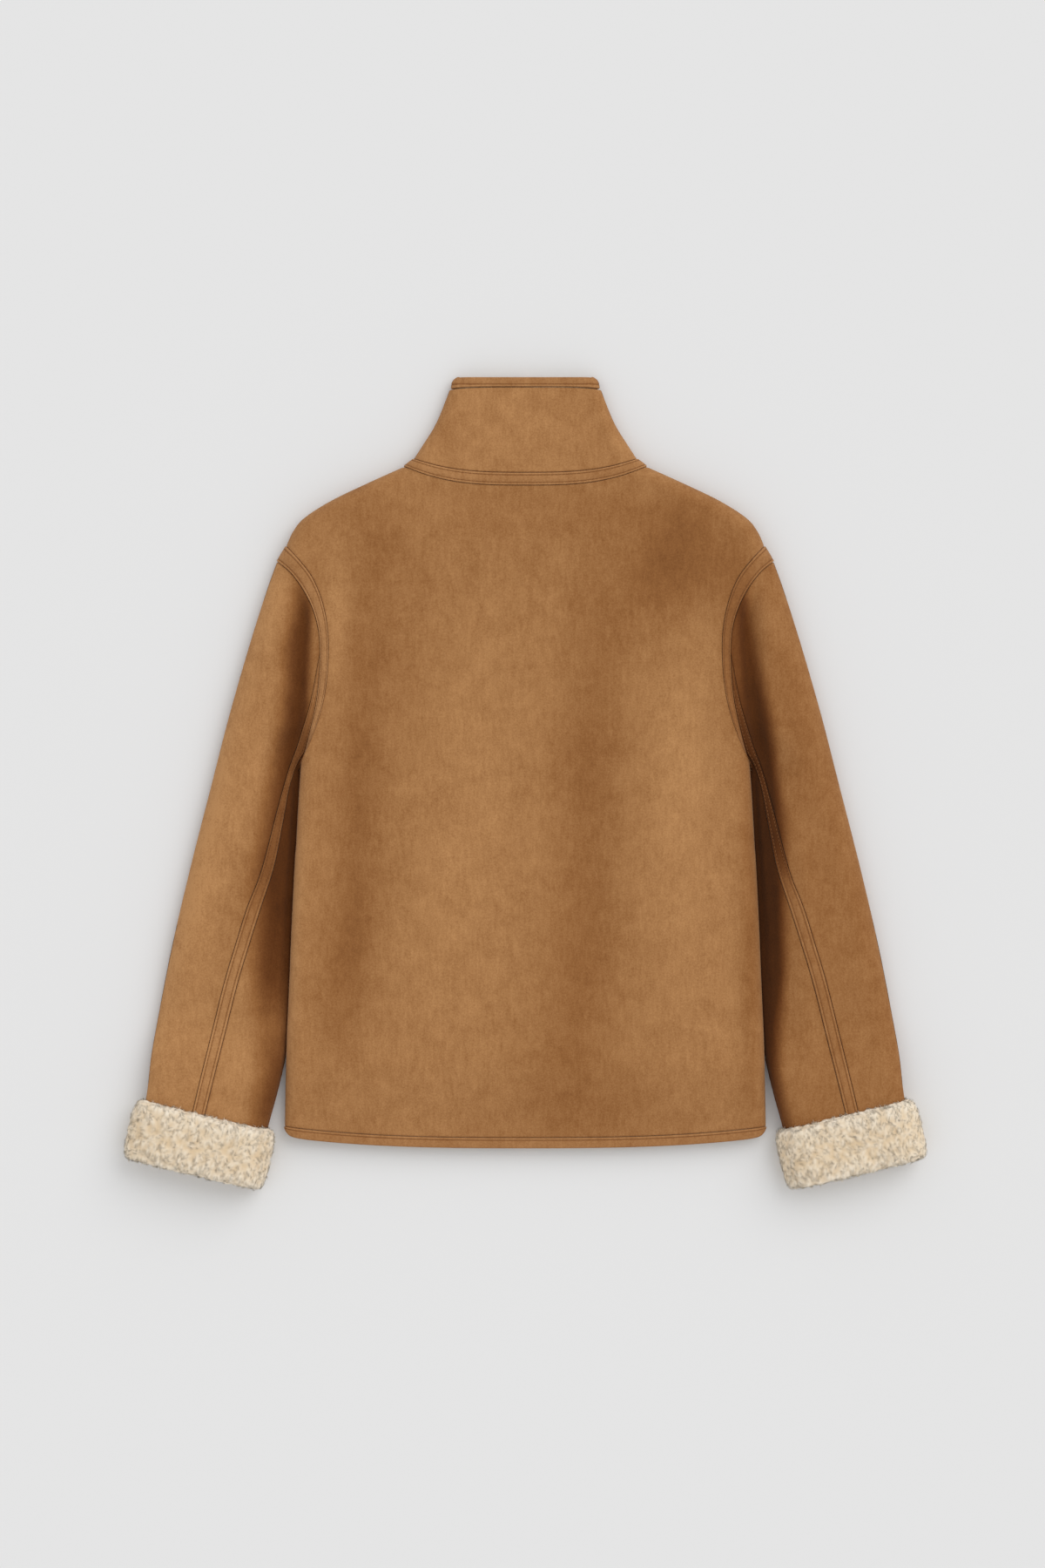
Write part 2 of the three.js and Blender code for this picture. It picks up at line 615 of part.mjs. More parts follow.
// The plan of one side of a cut, from its seam to its folded edge. Its first row follows the armhole.
// Where the armhole curves away from the cut, the next rows are straight at once, and otherwise by degrees.
function sleevePlan({ start, fold, rows, from, to, steps, fade }) {
  const foldLine = spline(fold);
  const armhole = steps.map((u) => armholeSleeve.getPoint(mix(from, to, u)));
  return rows.map((v, j) => {
    const end = foldLine.getPointAt(v);
    const left = (1 - v) ** fade;
    return steps.map((u, i) => {
      if (j === 0) return armhole[i];
      const curve = armhole[i].clone().sub(mixPoints(armhole[0], armhole.at(-1), u));
      return mixPoints(start[j], end, u).addScaledVector(curve, left);
    });
  });
}

function joinRound(topPlan, underPlan) {
  return topPlan.map((row, j) => [
    ...row.map((p) => sleeveCell(p, 1)),
    ...underPlan[j].slice(0, -1).reverse().map((p) => sleeveCell(p, -1)),
  ]);
}

function makeSleeves() {
  const underSeam = spline(UNDER_SEAM);
  const top = { fold: SLEEVE_OUTER, rows: topRows, to: 1 };
  const under = { fold: SLEEVE_INNER, rows: evenRows, to: 0, fade: 100 };
  const topOver = sleevePlan({ ...top, start: bandOuterEdge, from: bandTo, steps: TOP_SLEEVE_STEPS, fade: 6 });
  const topUnder = sleevePlan({
    ...top,
    start: topRows.map((v) => underSeam.getPointAt(v)),
    from: underSeamAt,
    steps: TOP_SLEEVE_UNDER_STEPS,
    fade: 6,
  });
  const underOver = sleevePlan({
    ...under,
    start: bandInnerEdge.slice(-evenRows.length),
    from: bandFrom,
    steps: UNDER_SLEEVE_STEPS,
  });
  const underUnder = sleevePlan({
    ...under,
    start: evenRows.map((v) => underSeam.getPointAt(v)),
    from: underSeamAt,
    steps: UNDER_SLEEVE_UNDER_STEPS,
  });
  const tip = bandOuterEdge[1].clone().sub(bandOuterEdge[0]).setLength(BAND_TIP).add(bandOuterEdge[0]);
  const bandPlan = bandInnerEdge.map((p, k) => [k ? bandOuterEdge[k] : tip, p]);
  for (const { name, sign } of SIDES) {
    const seams = ["firstRow", "firstColumn", "lastColumn"];
    const topSleeve = drawBack(joinRound(topOver, topUnder), seams);
    add(`top_sleeve_${name}`, wallGeometry(mirrorFor(sign, topSleeve)), SUEDE);

    const underSleeve = drawBack(joinRound(underOver, underUnder), seams);
    add(`under_sleeve_${name}`, wallGeometry(mirrorFor(sign, underSleeve)), SUEDE);

    const band = bandPlan.map((row) => row.map((p) => sleeveCell(p, 1, BAND_RISE)));
    drawBack(band, seams);
    add(`sleeve_band_${name}`, wallGeometry(mirrorFor(sign, band)), SUEDE_BAND);
  }
}

// The tape over each armhole seam, a ring between the body and the sleeve.
function makeArmholeBands() {
  const over = armholeTop.map((t) => [
    backCell(armholeBody.getPoint(t), BAND_RISE),
    sleeveCell(armholeSleeve.getPoint(t), 1, BAND_RISE),
  ]);
  const under = armholeUnder.slice(1, -1).reverse().map((t) => [
    frontCell(armholeBody.getPoint(t), false),
    sleeveCell(armholeSleeve.getPoint(t), -1),
  ]);
  const stations = [...over, ...under];
  for (const { name, sign } of SIDES) {
    const cells = [0, 1].map((k) => stations.map((pair) => ({
      outer: pair[k].outer.clone(),
      inner: pair[k].inner.clone(),
    })));
    drawBack(cells, ["firstRow", "lastRow"]);
    add(`armhole_band_${name}`, wallGeometry(mirrorFor(sign, cells), true), SUEDE_BAND);
  }
}

// Places round the neck: from the lap of the right front, over the back, to the lap of the left front.
function neckPlaces() {
  const front = neckAngles.slice(0, -1).map((a) => ({ share: Math.sin(a), drop: Math.cos(a), up: -1 }));
  const back = BACK_SHARES.map((s) => ({ share: s / BACK_SHARES.at(-1), drop: 0, up: 1 }));
  const half = (sign, list) => list.map((place) => ({ ...place, sign }));
  return [
    ...half(1, front),
    ...half(1, back).reverse(),
    ...half(-1, back.slice(1)),
    ...half(-1, front).reverse(),
  ];
}

// A place on one of the neck's two seams.
function neckPoint(line, place) {
  const y = place.up > 0 ? curveUp(line, place.share) : line.corner - line.frontDrop * place.drop;
  return new THREE.Vector2(place.sign * line.half * place.share, y);
}

// A line of the collar or of its top band, at the height share v between its lower and upper seams.
function collarPoint(place, v, fold, lowerY, upperY) {
  const edge = fold.getPoint(v);
  const straight = mix(fold.getPoint(0).y, fold.getPoint(1).y, v);
  const y = mix(lowerY, upperY, v) + (edge.y - straight) * Math.abs(place.share) ** COLLAR_CURVE_POWER;
  return new THREE.Vector2(place.sign * edge.x * place.share, y);
}

function makeCollar() {
  const places = neckPlaces();
  const left = (place) => place.sign < 0;
  const seamY = (line, place) => mix(line.middle, line.corner, place.share ** COLLAR_CURVE_POWER);

  const neckSeam = places.map((place) => {
    const p = neckPoint(NECK, place);
    return place.up > 0 ? backCell(p, BAND_RISE) : frontCell(p, left(place));
  });
  const collarSeam = places.map((place) => {
    const rise = place.up > 0 ? BAND_RISE : 0;
    return collarCell(neckPoint(COLLAR, place), place.up, left(place), collarLine, rise);
  });
  const base = drawBack([neckSeam, collarSeam], ["firstRow", "lastRow"]);
  add("collar_base_band", wallGeometry(base), SUEDE_BAND);

  const side = spline(COLLAR_SIDE);
  const collar = range(COLLAR_ROWS).map((v) => places.map((place) => {
    const p = collarPoint(place, v, side, neckPoint(COLLAR, place).y, seamY(COLLAR_TOP, place));
    return collarCell(p, place.up, left(place), collarLine);
  }));
  add("collar", wallGeometry(drawBack(collar, ["firstRow", "lastRow"])), SUEDE);

  const bandSide = spline(TOP_BAND_SIDE);
  const band = range(TOP_BAND_ROWS).map((v) => places.map((place) => {
    const p = collarPoint(place, v, bandSide, seamY(TOP_BAND, place), TOP_BAND.top);
    return collarCell(p, place.up, left(place), topBandLine, place.up > 0 ? BAND_RISE : 0);
  }));
  add("collar_top_band", wallGeometry(drawBack(band, ["firstRow"])), SUEDE_BAND);
}

// The turned-back cuff: its pile reaches over the sleeve's end and a little way in at the mouth.
// Each row is a place on the ring's section: how far along the sleeve, and the share of the pile's depth.
const CUFF_SECTION = [
  { along: -28, depth: 0.08 },
  { along: -31, depth: 0.45 },
  { along: -27, depth: 0.85 },
  { along: -14, depth: 1 },
  { along: 12, depth: 1 },
  { along: 24, depth: 0.84 },
  { along: 28.3, depth: 0.45 },
  { along: 27.8, depth: -0.1 },
  { along: 25.5, depth: -0.42 },
  { along: 19.1, depth: -0.42 },
  { along: 19.1, depth: 0.05 },
];
function makeCuffs() {
  const out = new THREE.Vector2(Math.cos(SLEEVE_TILT), Math.sin(SLEEVE_TILT));
  const down = new THREE.Vector2(Math.sin(SLEEVE_TILT), -Math.cos(SLEEVE_TILT));
  const wrist = (table) => spline(table).getPoint(1).sub(new THREE.Vector2(CUFF.x, CUFF.y)).dot(out);
  const [outer, inner] = [wrist(SLEEVE_OUTER), wrist(SLEEVE_INNER)];
  const [bandStart, bandEnd] = [wrist(SEAM_BAND_OUTER), wrist(SEAM_BAND_INNER)];
  const underSeam = wrist(UNDER_SEAM);
  const middle = new THREE.Vector2(CUFF.x, CUFF.y);
  const section = (across, up, rise = 0) => {
    const cell = sleeveCell(middle.clone().addScaledVector(out, across), up, rise);
    return new THREE.Vector2(across, cell.outer.z);
  };
  const ring = [
    ...TOP_SLEEVE_STEPS.slice(1).reverse().map((u) => section(mix(bandStart, outer, u), 1)),
    section(bandStart, 1, BAND_RISE),
    section(bandEnd, 1, BAND_RISE),
    ...UNDER_SLEEVE_STEPS.slice(1).map((u) => section(mix(bandEnd, inner, u), 1)),
    ...UNDER_SLEEVE_UNDER_STEPS.slice(0, -1).reverse().map((u) => section(mix(underSeam, inner, u), -1)),
    ...TOP_SLEEVE_UNDER_STEPS.slice(1, -1).map((u) => section(mix(underSeam, outer, u), -1)),
  ];
  const normals = ring.map((p, k) => {
    const along = ring[(k + 1) % ring.length].clone().sub(ring.at(k - 1)).normalize();
    return new THREE.Vector2(-along.y, along.x).multiplyScalar(-1);
  });
  const loops = CUFF_SECTION.map(({ along, depth }) => ring.map((p, k) => {
    const pile = normals[k].y < 0 ? mix(CUFF.pile, CUFF.pileUnder, -normals[k].y) : CUFF.pile;
    const raised = p.clone().addScaledVector(normals[k], depth * pile);
    const plan = middle.clone().addScaledVector(out, raised.x).addScaledVector(down, along);
    return new THREE.Vector3(plan.x, plan.y, Math.max(0, raised.y));
  }));
  for (const { name, sign } of SIDES) {
    const positions = loops.flat().flatMap((p) => [sign * p.x, p.y, p.z]);
    const faces = [];
    for (let j = 0; j < loops.length; j++) {
      for (let k = 0; k < ring.length; k++) {
        const at = (dj, dk) => ((j + dj) % loops.length) * ring.length + ((k + dk) % ring.length);
        faces.push(at(0, 0), at(0, 1), at(1, 1), at(0, 0), at(1, 1), at(1, 0));
      }
    }
    add(`cuff_${name}`, closedGeometry(positions, faces), PILE);
  }
}

makeBack();
makeFronts();
makeSleeves();
makeArmholeBands();
makeCollar();
makeCuffs();

export default jacket;
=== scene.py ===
import bpy
import numpy as np
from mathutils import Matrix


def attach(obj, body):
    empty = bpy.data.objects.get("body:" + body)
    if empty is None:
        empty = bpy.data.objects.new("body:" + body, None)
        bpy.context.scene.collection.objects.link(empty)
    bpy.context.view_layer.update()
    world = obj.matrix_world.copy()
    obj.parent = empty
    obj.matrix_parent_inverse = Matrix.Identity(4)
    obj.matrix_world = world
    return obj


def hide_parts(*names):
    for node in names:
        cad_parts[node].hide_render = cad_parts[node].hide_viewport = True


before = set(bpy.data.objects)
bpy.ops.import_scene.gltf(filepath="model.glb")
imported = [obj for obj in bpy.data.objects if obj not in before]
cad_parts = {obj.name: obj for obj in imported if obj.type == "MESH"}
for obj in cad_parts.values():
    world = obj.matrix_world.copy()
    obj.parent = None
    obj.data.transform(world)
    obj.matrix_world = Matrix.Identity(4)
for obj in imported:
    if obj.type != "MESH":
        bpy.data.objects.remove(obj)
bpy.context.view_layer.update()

# The studio: a plain pale floor seen from straight above, under a soft sky of light, with one large
# soft lamp high up at the top right, so that the jacket's shadow falls to the lower left.
PHOTO_MIDDLE = (-0.0027, -0.0013)
PHOTO_HEIGHT = 1.512
CAMERA_HEIGHT = 4.0
CLOTH_LEVEL = 0.010
SENSOR = 36.0
SKY_LIGHT = 0.764
LAMP_LIGHT = 1.0
LAMP_ELEVATION = np.radians(42)
LAMP_AZIMUTH = np.radians(48)
LAMP_WIDTH = np.radians(50)
FLOOR_SIZE = 30.0
FLOOR_LEVEL = -0.3

scene = bpy.context.scene
camera = bpy.data.objects.new("camera", bpy.data.cameras.new("camera"))
camera.location = (*PHOTO_MIDDLE, CAMERA_HEIGHT + CLOTH_LEVEL)
camera.data.sensor_width = SENSOR
camera.data.lens = SENSOR * CAMERA_HEIGHT / PHOTO_HEIGHT
camera.data.clip_start = 0.1
camera.data.clip_end = 50
scene.collection.objects.link(camera)
scene.camera = camera
scene.view_settings.view_transform = "Standard"


def linear(*rgb):
    """A colour given in the 0 to 255 steps of a picture, as the light it stands for."""
    share = np.array(rgb) / 255
    return np.where(share <= 0.04045, share / 12.92, ((share + 0.055) / 1.055) ** 2.4)


def new_material(name, roughness, colour):
    """A material with one principled shader, its nodes ready for a pattern."""
    material = bpy.data.materials.new(name)
    material.use_nodes = True
    shader = material.node_tree.nodes["Principled BSDF"]
    shader.inputs["Roughness"].default_value = roughness
    shader.inputs["Specular IOR Level"].default_value = 0.15
    shader.inputs["Base Color"].default_value = (*colour, 1)
    material.diffuse_color = (*colour, 1)
    return material, material.node_tree, shader


def set_values(made, name, kind, field, values):
    """Gives a mesh object an attribute with one value, or one direction, for each point."""
    attribute = made.data.attributes.new(name, kind, "POINT")
    attribute.data.foreach_set(field, np.ravel(values).astype(np.float32))


def new_object(name, points, faces, materials):
    """A mesh object from points in millimetres and faces, with its place in its mesh, smooth all over."""
    mesh = bpy.data.meshes.new(name)
    mesh.from_pydata((np.asarray(points) / 1000).tolist(), [], faces)
    for material in materials:
        mesh.materials.append(material)
    mesh.polygons.foreach_set("use_smooth", np.ones(len(mesh.polygons), bool))
    mesh.update()
    made = bpy.data.objects.new(name, mesh)
    scene.collection.objects.link(made)
    return made


world = bpy.data.worlds.new("sky")
world.use_nodes = True
world.node_tree.nodes["Background"].inputs["Color"].default_value = (1, 1, 1, 1)
world.node_tree.nodes["Background"].inputs["Strength"].default_value = SKY_LIGHT
scene.world = world

lamp = bpy.data.objects.new("lamp", bpy.data.lights.new("lamp", "SUN"))
lamp.data.energy = LAMP_LIGHT
lamp.data.angle = LAMP_WIDTH
lamp.rotation_euler = (np.pi / 2 - LAMP_ELEVATION, 0, np.pi / 2 + LAMP_AZIMUTH)
scene.collection.objects.link(lamp)

floor_paint, _, _ = new_material("floor_paint", 1.0, (0.80, 0.80, 0.80))
half = 1000 * FLOOR_SIZE / 2
floor_corners = [(x, y, FLOOR_LEVEL) for x, y in ((-half, -half), (half, -half), (half, half), (-half, half))]
floor = new_object("floor", floor_corners, [(0, 1, 2, 3)], [floor_paint])

# The back: one piece of suede bonded to its pile, from the collar's seam to the hem's tape. It lies
# over the fronts with its side edges rounded over, and soft folds run down it from the shoulders.
CLOTH = 3.0
SEAM_GAP = 0.3
EDGE_HEIGHT = 10.0
BACK_HEIGHT = 25.0
HEM_HEIGHT = 15.0
HEM_SLOPE_LENGTH = 85.0
NECK_HEIGHT = 22.0
NECK_SIDE_FROM, NECK_SIDE_FADE = 110.0, 50.0
NECK_SLOPE_FROM, NECK_SLOPE_LENGTH = 230.0, 60.0
BACK_EDGE_ROUND = 15.0
HEM_HALF, HEM_SEAM, HEM_EDGE, HEM_RISE, HEM_POWER = 232.2, -341.9, -352.4, 10.7, 2.8
HEM_CORNER_IN, HEM_CORNER_UP, HEM_CORNER_POWER = 1.8, 4.4, 40
NECK = {"half": 117.0, "corner": 304.7, "back": 286.0, "drop": 76.7}
SHOULDER = [(117, 304.7), (152.9, 288.5), (187.7, 271.7), (213.8, 254.9), (224.5, 241.5), (230.5, 228)]
SIDE = [
    (232.2, -331.2), (231.4, -287), (230.2, -245), (227.6, -186),
    (225.5, -134), (221.8, -63), (218.6, -7), (216.5, 20),
]
ARMHOLE_BODY = [
    (216.5, 20), (209, 34), (200.5, 56), (194, 79), (190.5, 102), (189.2, 124),
    (189.6, 143), (192.5, 163), (197.5, 181), (205.5, 198.5), (217, 213.5), (230.5, 228),
]
ARMHOLE_SLEEVE = [
    (218.4, 13.4), (212.8, 29.5), (206.5, 52.5), (201.2, 77), (198.5, 101), (197.6, 124),
    (198.6, 143.5), (202.3, 160.5), (208.5, 176), (217, 190.5), (227.5, 203.5), (239.4, 212.9),
]
SLEEVE_OUTER = [
    (239.4, 212.9), (249.9, 183.5), (265.9, 133), (285.2, 66), (302.4, -1),
    (323.8, -85), (343.1, -169), (358.7, -253), (365, -303.7), (376.9, -353.4),
]
# Each soft fold: where its middle is, its lean, its half length, its half width and its height.
BACK_FOLDS = [
    (-178, -70, 0.04, 250, 24, -3.0), (-95, -110, 0.02, 240, 44, 2.5),
    (50, -60, -0.06, 290, 34, -3.2), (128, -40, 0.03, 260, 40, 2.2),
    (-150, 120, 0.10, 120, 13, -0.8), (-186, 110, 0.05, 110, 9, 0.9), (-28, 60, -0.03, 150, 20, -0.8),
    (168, 150, -0.12, 110, 16, -1.0), (186, 40, 0.02, 130, 11, 0.9), (100, -230, 0.05, 90, 18, -0.8),
    (-52, -250, -0.04, 90, 16, 0.7), (196, -190, 0.01, 130, 13, -1.0), (-204, -220, 0.0, 110, 12, -0.8),
]
# Painted shade in the troughs of the folds, on the right side, below the collar and at the hem, and painted
# light on the ridges and along the left edge: the same five sizes, and then how much of the colour.
BACK_PAINTED_LIGHT_AND_SHADE = [
    (-158, 20, 0.06, 330, 24, -0.24), (-172, -180, 0.12, 130, 26, -0.18), (-180, 170, 0.05, 110, 10, 0.16),
    (-62, -110, 0.10, 330, 52, 0.12), (-50, 60, 0.0, 150, 34, 0.04), (62, 10, 0.02, 330, 34, -0.22),
    (46, -230, 0.12, 200, 44, -0.16), (150, 50, 0.03, 150, 30, 0.15), (160, -130, -0.05, 220, 40, 0.09),
    (140, 215, 0.25, 110, 46, -0.34), (40, 262, 0.0, 50, 110, -0.12), (-140, 240, -0.6, 90, 50, -0.12),
    (206, 130, 0.0, 130, 14, -0.28), (192, 205, 0.0, 60, 28, -0.14), (217, -130, 0.0, 330, 11, -0.26),
    (-224, -150, 0.045, 240, 8, 0.30), (-112, 120, 0.0, 140, 22, -0.08), (20, -320, 0.0, 70, 90, -0.08),
    (100, -300, 0.0, 90, 60, -0.08),
]
CURVE_STEPS = 800
BACK_LENGTH, BACK_SPACING = 640, 3.6
SEAM_LINES = [0, 0.7, 2.0]
FOLD_LINES = 22 * (1 - np.cos(np.radians(np.arange(0, 91, 10))))
SUEDE_COLOUR = linear(164, 116, 71)


def mix(low, high, share):
    """The value at a share of the way from low to high."""
    return low + (high - low) * share


def smooth(share):
    """0 up to 0 and 1 from 1, with a smooth rise between: 3 of its square less 2 of its cube."""
    share = np.clip(share, 0, 1)
    return share * share * (3 - 2 * share)


def rounded(distance, radius):
    """A quarter round: 0 at an edge, and 1 from where the distance reaches the radius."""
    short = 1 - np.minimum(1, np.asarray(distance) / radius)
    return np.sqrt(np.maximum(0, 1 - short * short))


def curve(places, shares):
    """Points on a smooth line through the places, each stretch a cubic that leaves a place in the
    direction from the one before to the one after it."""
    p = np.asarray(places, float)
    s = np.clip(shares, 0, 1) * (len(p) - 1)
    k = np.minimum(s.astype(int), len(p) - 2)
    t = (s - k)[:, None]
    before, start, end, after = p[np.maximum(k - 1, 0)], p[k], p[k + 1], p[np.minimum(k + 2, len(p) - 1)]
    leave, arrive = (end - start + start - before) / 2, (after - start) / 2
    return (
        (2 * start - 2 * end + leave + arrive) * t**3
        + (3 * end - 3 * start - 2 * leave - arrive) * t**2 + leave * t + start
    )


def length_gone(points):
    """How far along a line each of its points is."""
    return np.concatenate([[0], np.cumsum(np.linalg.norm(np.diff(points, axis=0), axis=1))])


def at_distances(points, gone, distances):
    """The values along a line at some distances along it."""
    return np.stack([np.interp(distances, gone, points[:, k]) for k in range(points.shape[1])], -1)


def even_curve(places, shares):
    """Points on the same line at shares of its length."""
    at = np.linspace(0, 1, CURVE_STEPS)
    gone = length_gone(curve(places, at))
    return curve(places, np.interp(np.asarray(shares) * gone[-1], gone, at))


def unit(ways):
    """The same directions, each of length 1."""
    return ways / np.maximum(np.linalg.norm(ways, axis=-1, keepdims=True), 1e-9)


def square_part(ways, to):
    """What is left of directions when the part along a unit direction is taken out."""
    return ways - (ways * to).sum(1, keepdims=True) * to


def at_height(line, y):
    """The points of a line, which only rises or only falls, at the heights y."""
    line = line if line[-1, 1] > line[0, 1] else line[::-1]
    return np.stack([np.interp(y, line[:, 1], line[:, 0]), y], axis=-1)


def nearest(line, p, end_way=None):
    """How far each point is from a line that has the cloth on its right, and the way in from it. On the
    line the way is square to it, or end_way at its last point."""
    flat = p.reshape(-1, 2)
    best = np.full(len(flat), np.inf)
    way = np.zeros_like(flat)
    for start, end in zip(line[:-1], line[1:]):
        along = end - start
        if not along.any():
            continue
        share = np.clip((flat - start) @ along / (along @ along), 0, 1)
        from_foot = flat - (start + share[:, None] * along)
        distance = np.linalg.norm(from_foot, axis=1)
        closer = distance < best
        square = np.array([along[1], -along[0]]) / np.linalg.norm(along)
        far = distance > 0.3
        ways = np.where(far[:, None], from_foot / np.maximum(distance, 1e-9)[:, None], square)
        best = np.where(closer, distance, best)
        way = np.where(closer[:, None], ways, way)
    if end_way is not None:
        at_end = np.linalg.norm(flat - line[-1], axis=1) < 0.3
        way = np.where(at_end[:, None], unit(end_way), way)
    best = np.where(best < 0.3, 0, best)
    return best.reshape(p.shape[:-1]), way.reshape(p.shape)


def along_line(places):
    """A line of 60 straight steps through the places."""
    return curve(places, np.linspace(0, 1, 61))


def soft_bands(p, bands):
    """The sum of long soft bands: each falls off as a bell across it, and smoothly towards its ends."""
    total = np.zeros(p.shape[:-1])
    for x, y, lean, reach, width, amount in bands:
        across = (p[..., 0] - x - lean * (p[..., 1] - y)) / width
        along = np.abs(p[..., 1] - y) / reach
        total += amount * np.exp(-across * across) * (1 - smooth(along))
    return total


def lines_over(length, first, last, spacing):
    """Shares of a length: at the given distances in from both ends, and evenly spaced between them."""
    low, high = np.asarray(first, float), length - np.asarray(last, float)[::-1]
    count = max(1, round((high[0] - low[-1]) / spacing))
    return np.concatenate([low, np.linspace(low[-1], high[0], count + 1)[1:-1], high]) / length


def patch(lower, upper, left, right, us, vs):
    """A patch between four edges: the sum of the two ways across it, less its corners' own patch."""
    us, vs = us[None, :, None], vs[:, None, None]
    up = mix(lower[None], upper[None], vs)
    across = mix(left[:, None], right[:, None], us)
    corners = mix(mix(lower[0], lower[-1], us), mix(upper[0], upper[-1], us), vs)
    return up + across - corners


def wall(p, z, up, folds):
    """The outer and inner points of the cloth. Away from a fold the inner one lies a cloth's thickness
    straight under the outer one, or over it on the underside, and at a fold it lies beside it."""
    turn = np.zeros(p.shape)
    level = np.ones(p.shape[:-1])
    for distance, way, radius in folds:
        bend = 1 - np.minimum(1, distance / radius)
        turn = turn + way * bend[..., None]
        level = level * np.sqrt(1 - bend * bend)
    outer = np.concatenate([p, z[..., None]], axis=-1)
    inner = np.concatenate([p + turn * CLOTH, (z - up * CLOTH * level)[..., None]], axis=-1)
    return outer, inner


def mirrored(cells, flip):
    """Outer and inner points turned over to the left-hand side wherever flip says so."""
    sign = np.where(flip, -1.0, 1.0)
    for points in cells:
        points[..., 0] *= sign
    return cells


def seamed(cells, edges, soften=0.7):
    """Draws named edges of a wall back by half a seam's gap, and rounds their rims over."""
    outer, inner = cells
    for edge in edges:
        place, beside = {
            "first_row": (np.s_[0], np.s_[1]), "last_row": (np.s_[-1], np.s_[-2]),
            "first_column": (np.s_[:, 0], np.s_[:, 1]), "last_column": (np.s_[:, -1], np.s_[:, -2]),
        }[edge]
        back = unit(outer[beside] - outer[place]) * SEAM_GAP / 2
        through = unit(inner[place] - outer[place]) * soften
        outer[place] += back + through
        inner[place] += back - through
    return outer, inner


def faced_outwards(points, faces):
    """The faces, turned over if together they face into the solid that they close."""
    p = points[faces]
    volume = np.einsum("ij,ij->i", p[:, 0], np.cross(p[:, 1], p[:, 2]) + np.cross(p[:, 2], p[:, 3])).sum()
    return faces[:, ::-1] if volume < 0 else faces


def grid_faces(grid):
    """The four-sided faces between neighbouring points of a grid of point numbers."""
    return np.stack([grid[:-1, :-1], grid[:-1, 1:], grid[1:, 1:], grid[1:, :-1]], -1).reshape(-1, 4)


def wall_object(name, cells, materials, ring=False, tone=None):
    """Joins the outer and inner grids into one closed mesh, rims included, the inner side in the second
    material. tone is how light the colour is made at each point of the outer grid, painted shade and
    painted light included."""
    outer, inner = cells
    rows, columns = outer.shape[:2]
    a = np.arange(rows * columns).reshape(rows, columns)
    if ring:
        a = np.concatenate([a, a[:, :1]], axis=1)
    b = a + rows * columns
    skins = [grid_faces(a), grid_faces(b)]
    places = [np.s_[0], np.s_[-1, ::-1]] + ([] if ring else [np.s_[::-1, 0], np.s_[:, -1]])
    rims = [grid_faces(np.stack([a[place], b[place]], axis=1)) for place in places]
    points = np.concatenate([outer.reshape(-1, 3), inner.reshape(-1, 3)])
    faces = faced_outwards(points, np.concatenate([skins[0], skins[1][:, ::-1], *rims]))
    made = new_object(name, points, faces.tolist(), materials)
    if len(materials) > 1:
        inside = np.zeros(len(faces), np.int32)
        inside[len(skins[0]):2 * len(skins[0])] = 1
        made.data.polygons.foreach_set("material_index", inside)
    value = np.ones(rows * columns) if tone is None else np.broadcast_to(tone, (rows, columns)).ravel()
    set_values(made, "tone", "FLOAT", "value", np.concatenate([value, value]))
    return made


def node(tree, kind, inputs=(), **settings):
    """A new shader node with its settings, and its inputs set to values or joined to other nodes."""
    made = tree.nodes.new("ShaderNode" + kind)
    for key, value in settings.items():
        setattr(made, key, value)
    for key, value in dict(inputs).items():
        if isinstance(value, bpy.types.NodeSocket):
            tree.links.new(value, made.inputs[key])
        else:
            made.inputs[key].default_value = value
    return made


def noise_pattern(tree, where, scale, detail, roughness=0.5, distortion=0.0):
    """Soft random spots, scale of them to the metre."""
    made = node(
        tree, "TexNoise",
        {"Vector": where, "Scale": scale, "Detail": detail, "Roughness": roughness, "Distortion": distortion},
    )
    return made.outputs["Factor" if "Factor" in made.outputs else "Fac"]


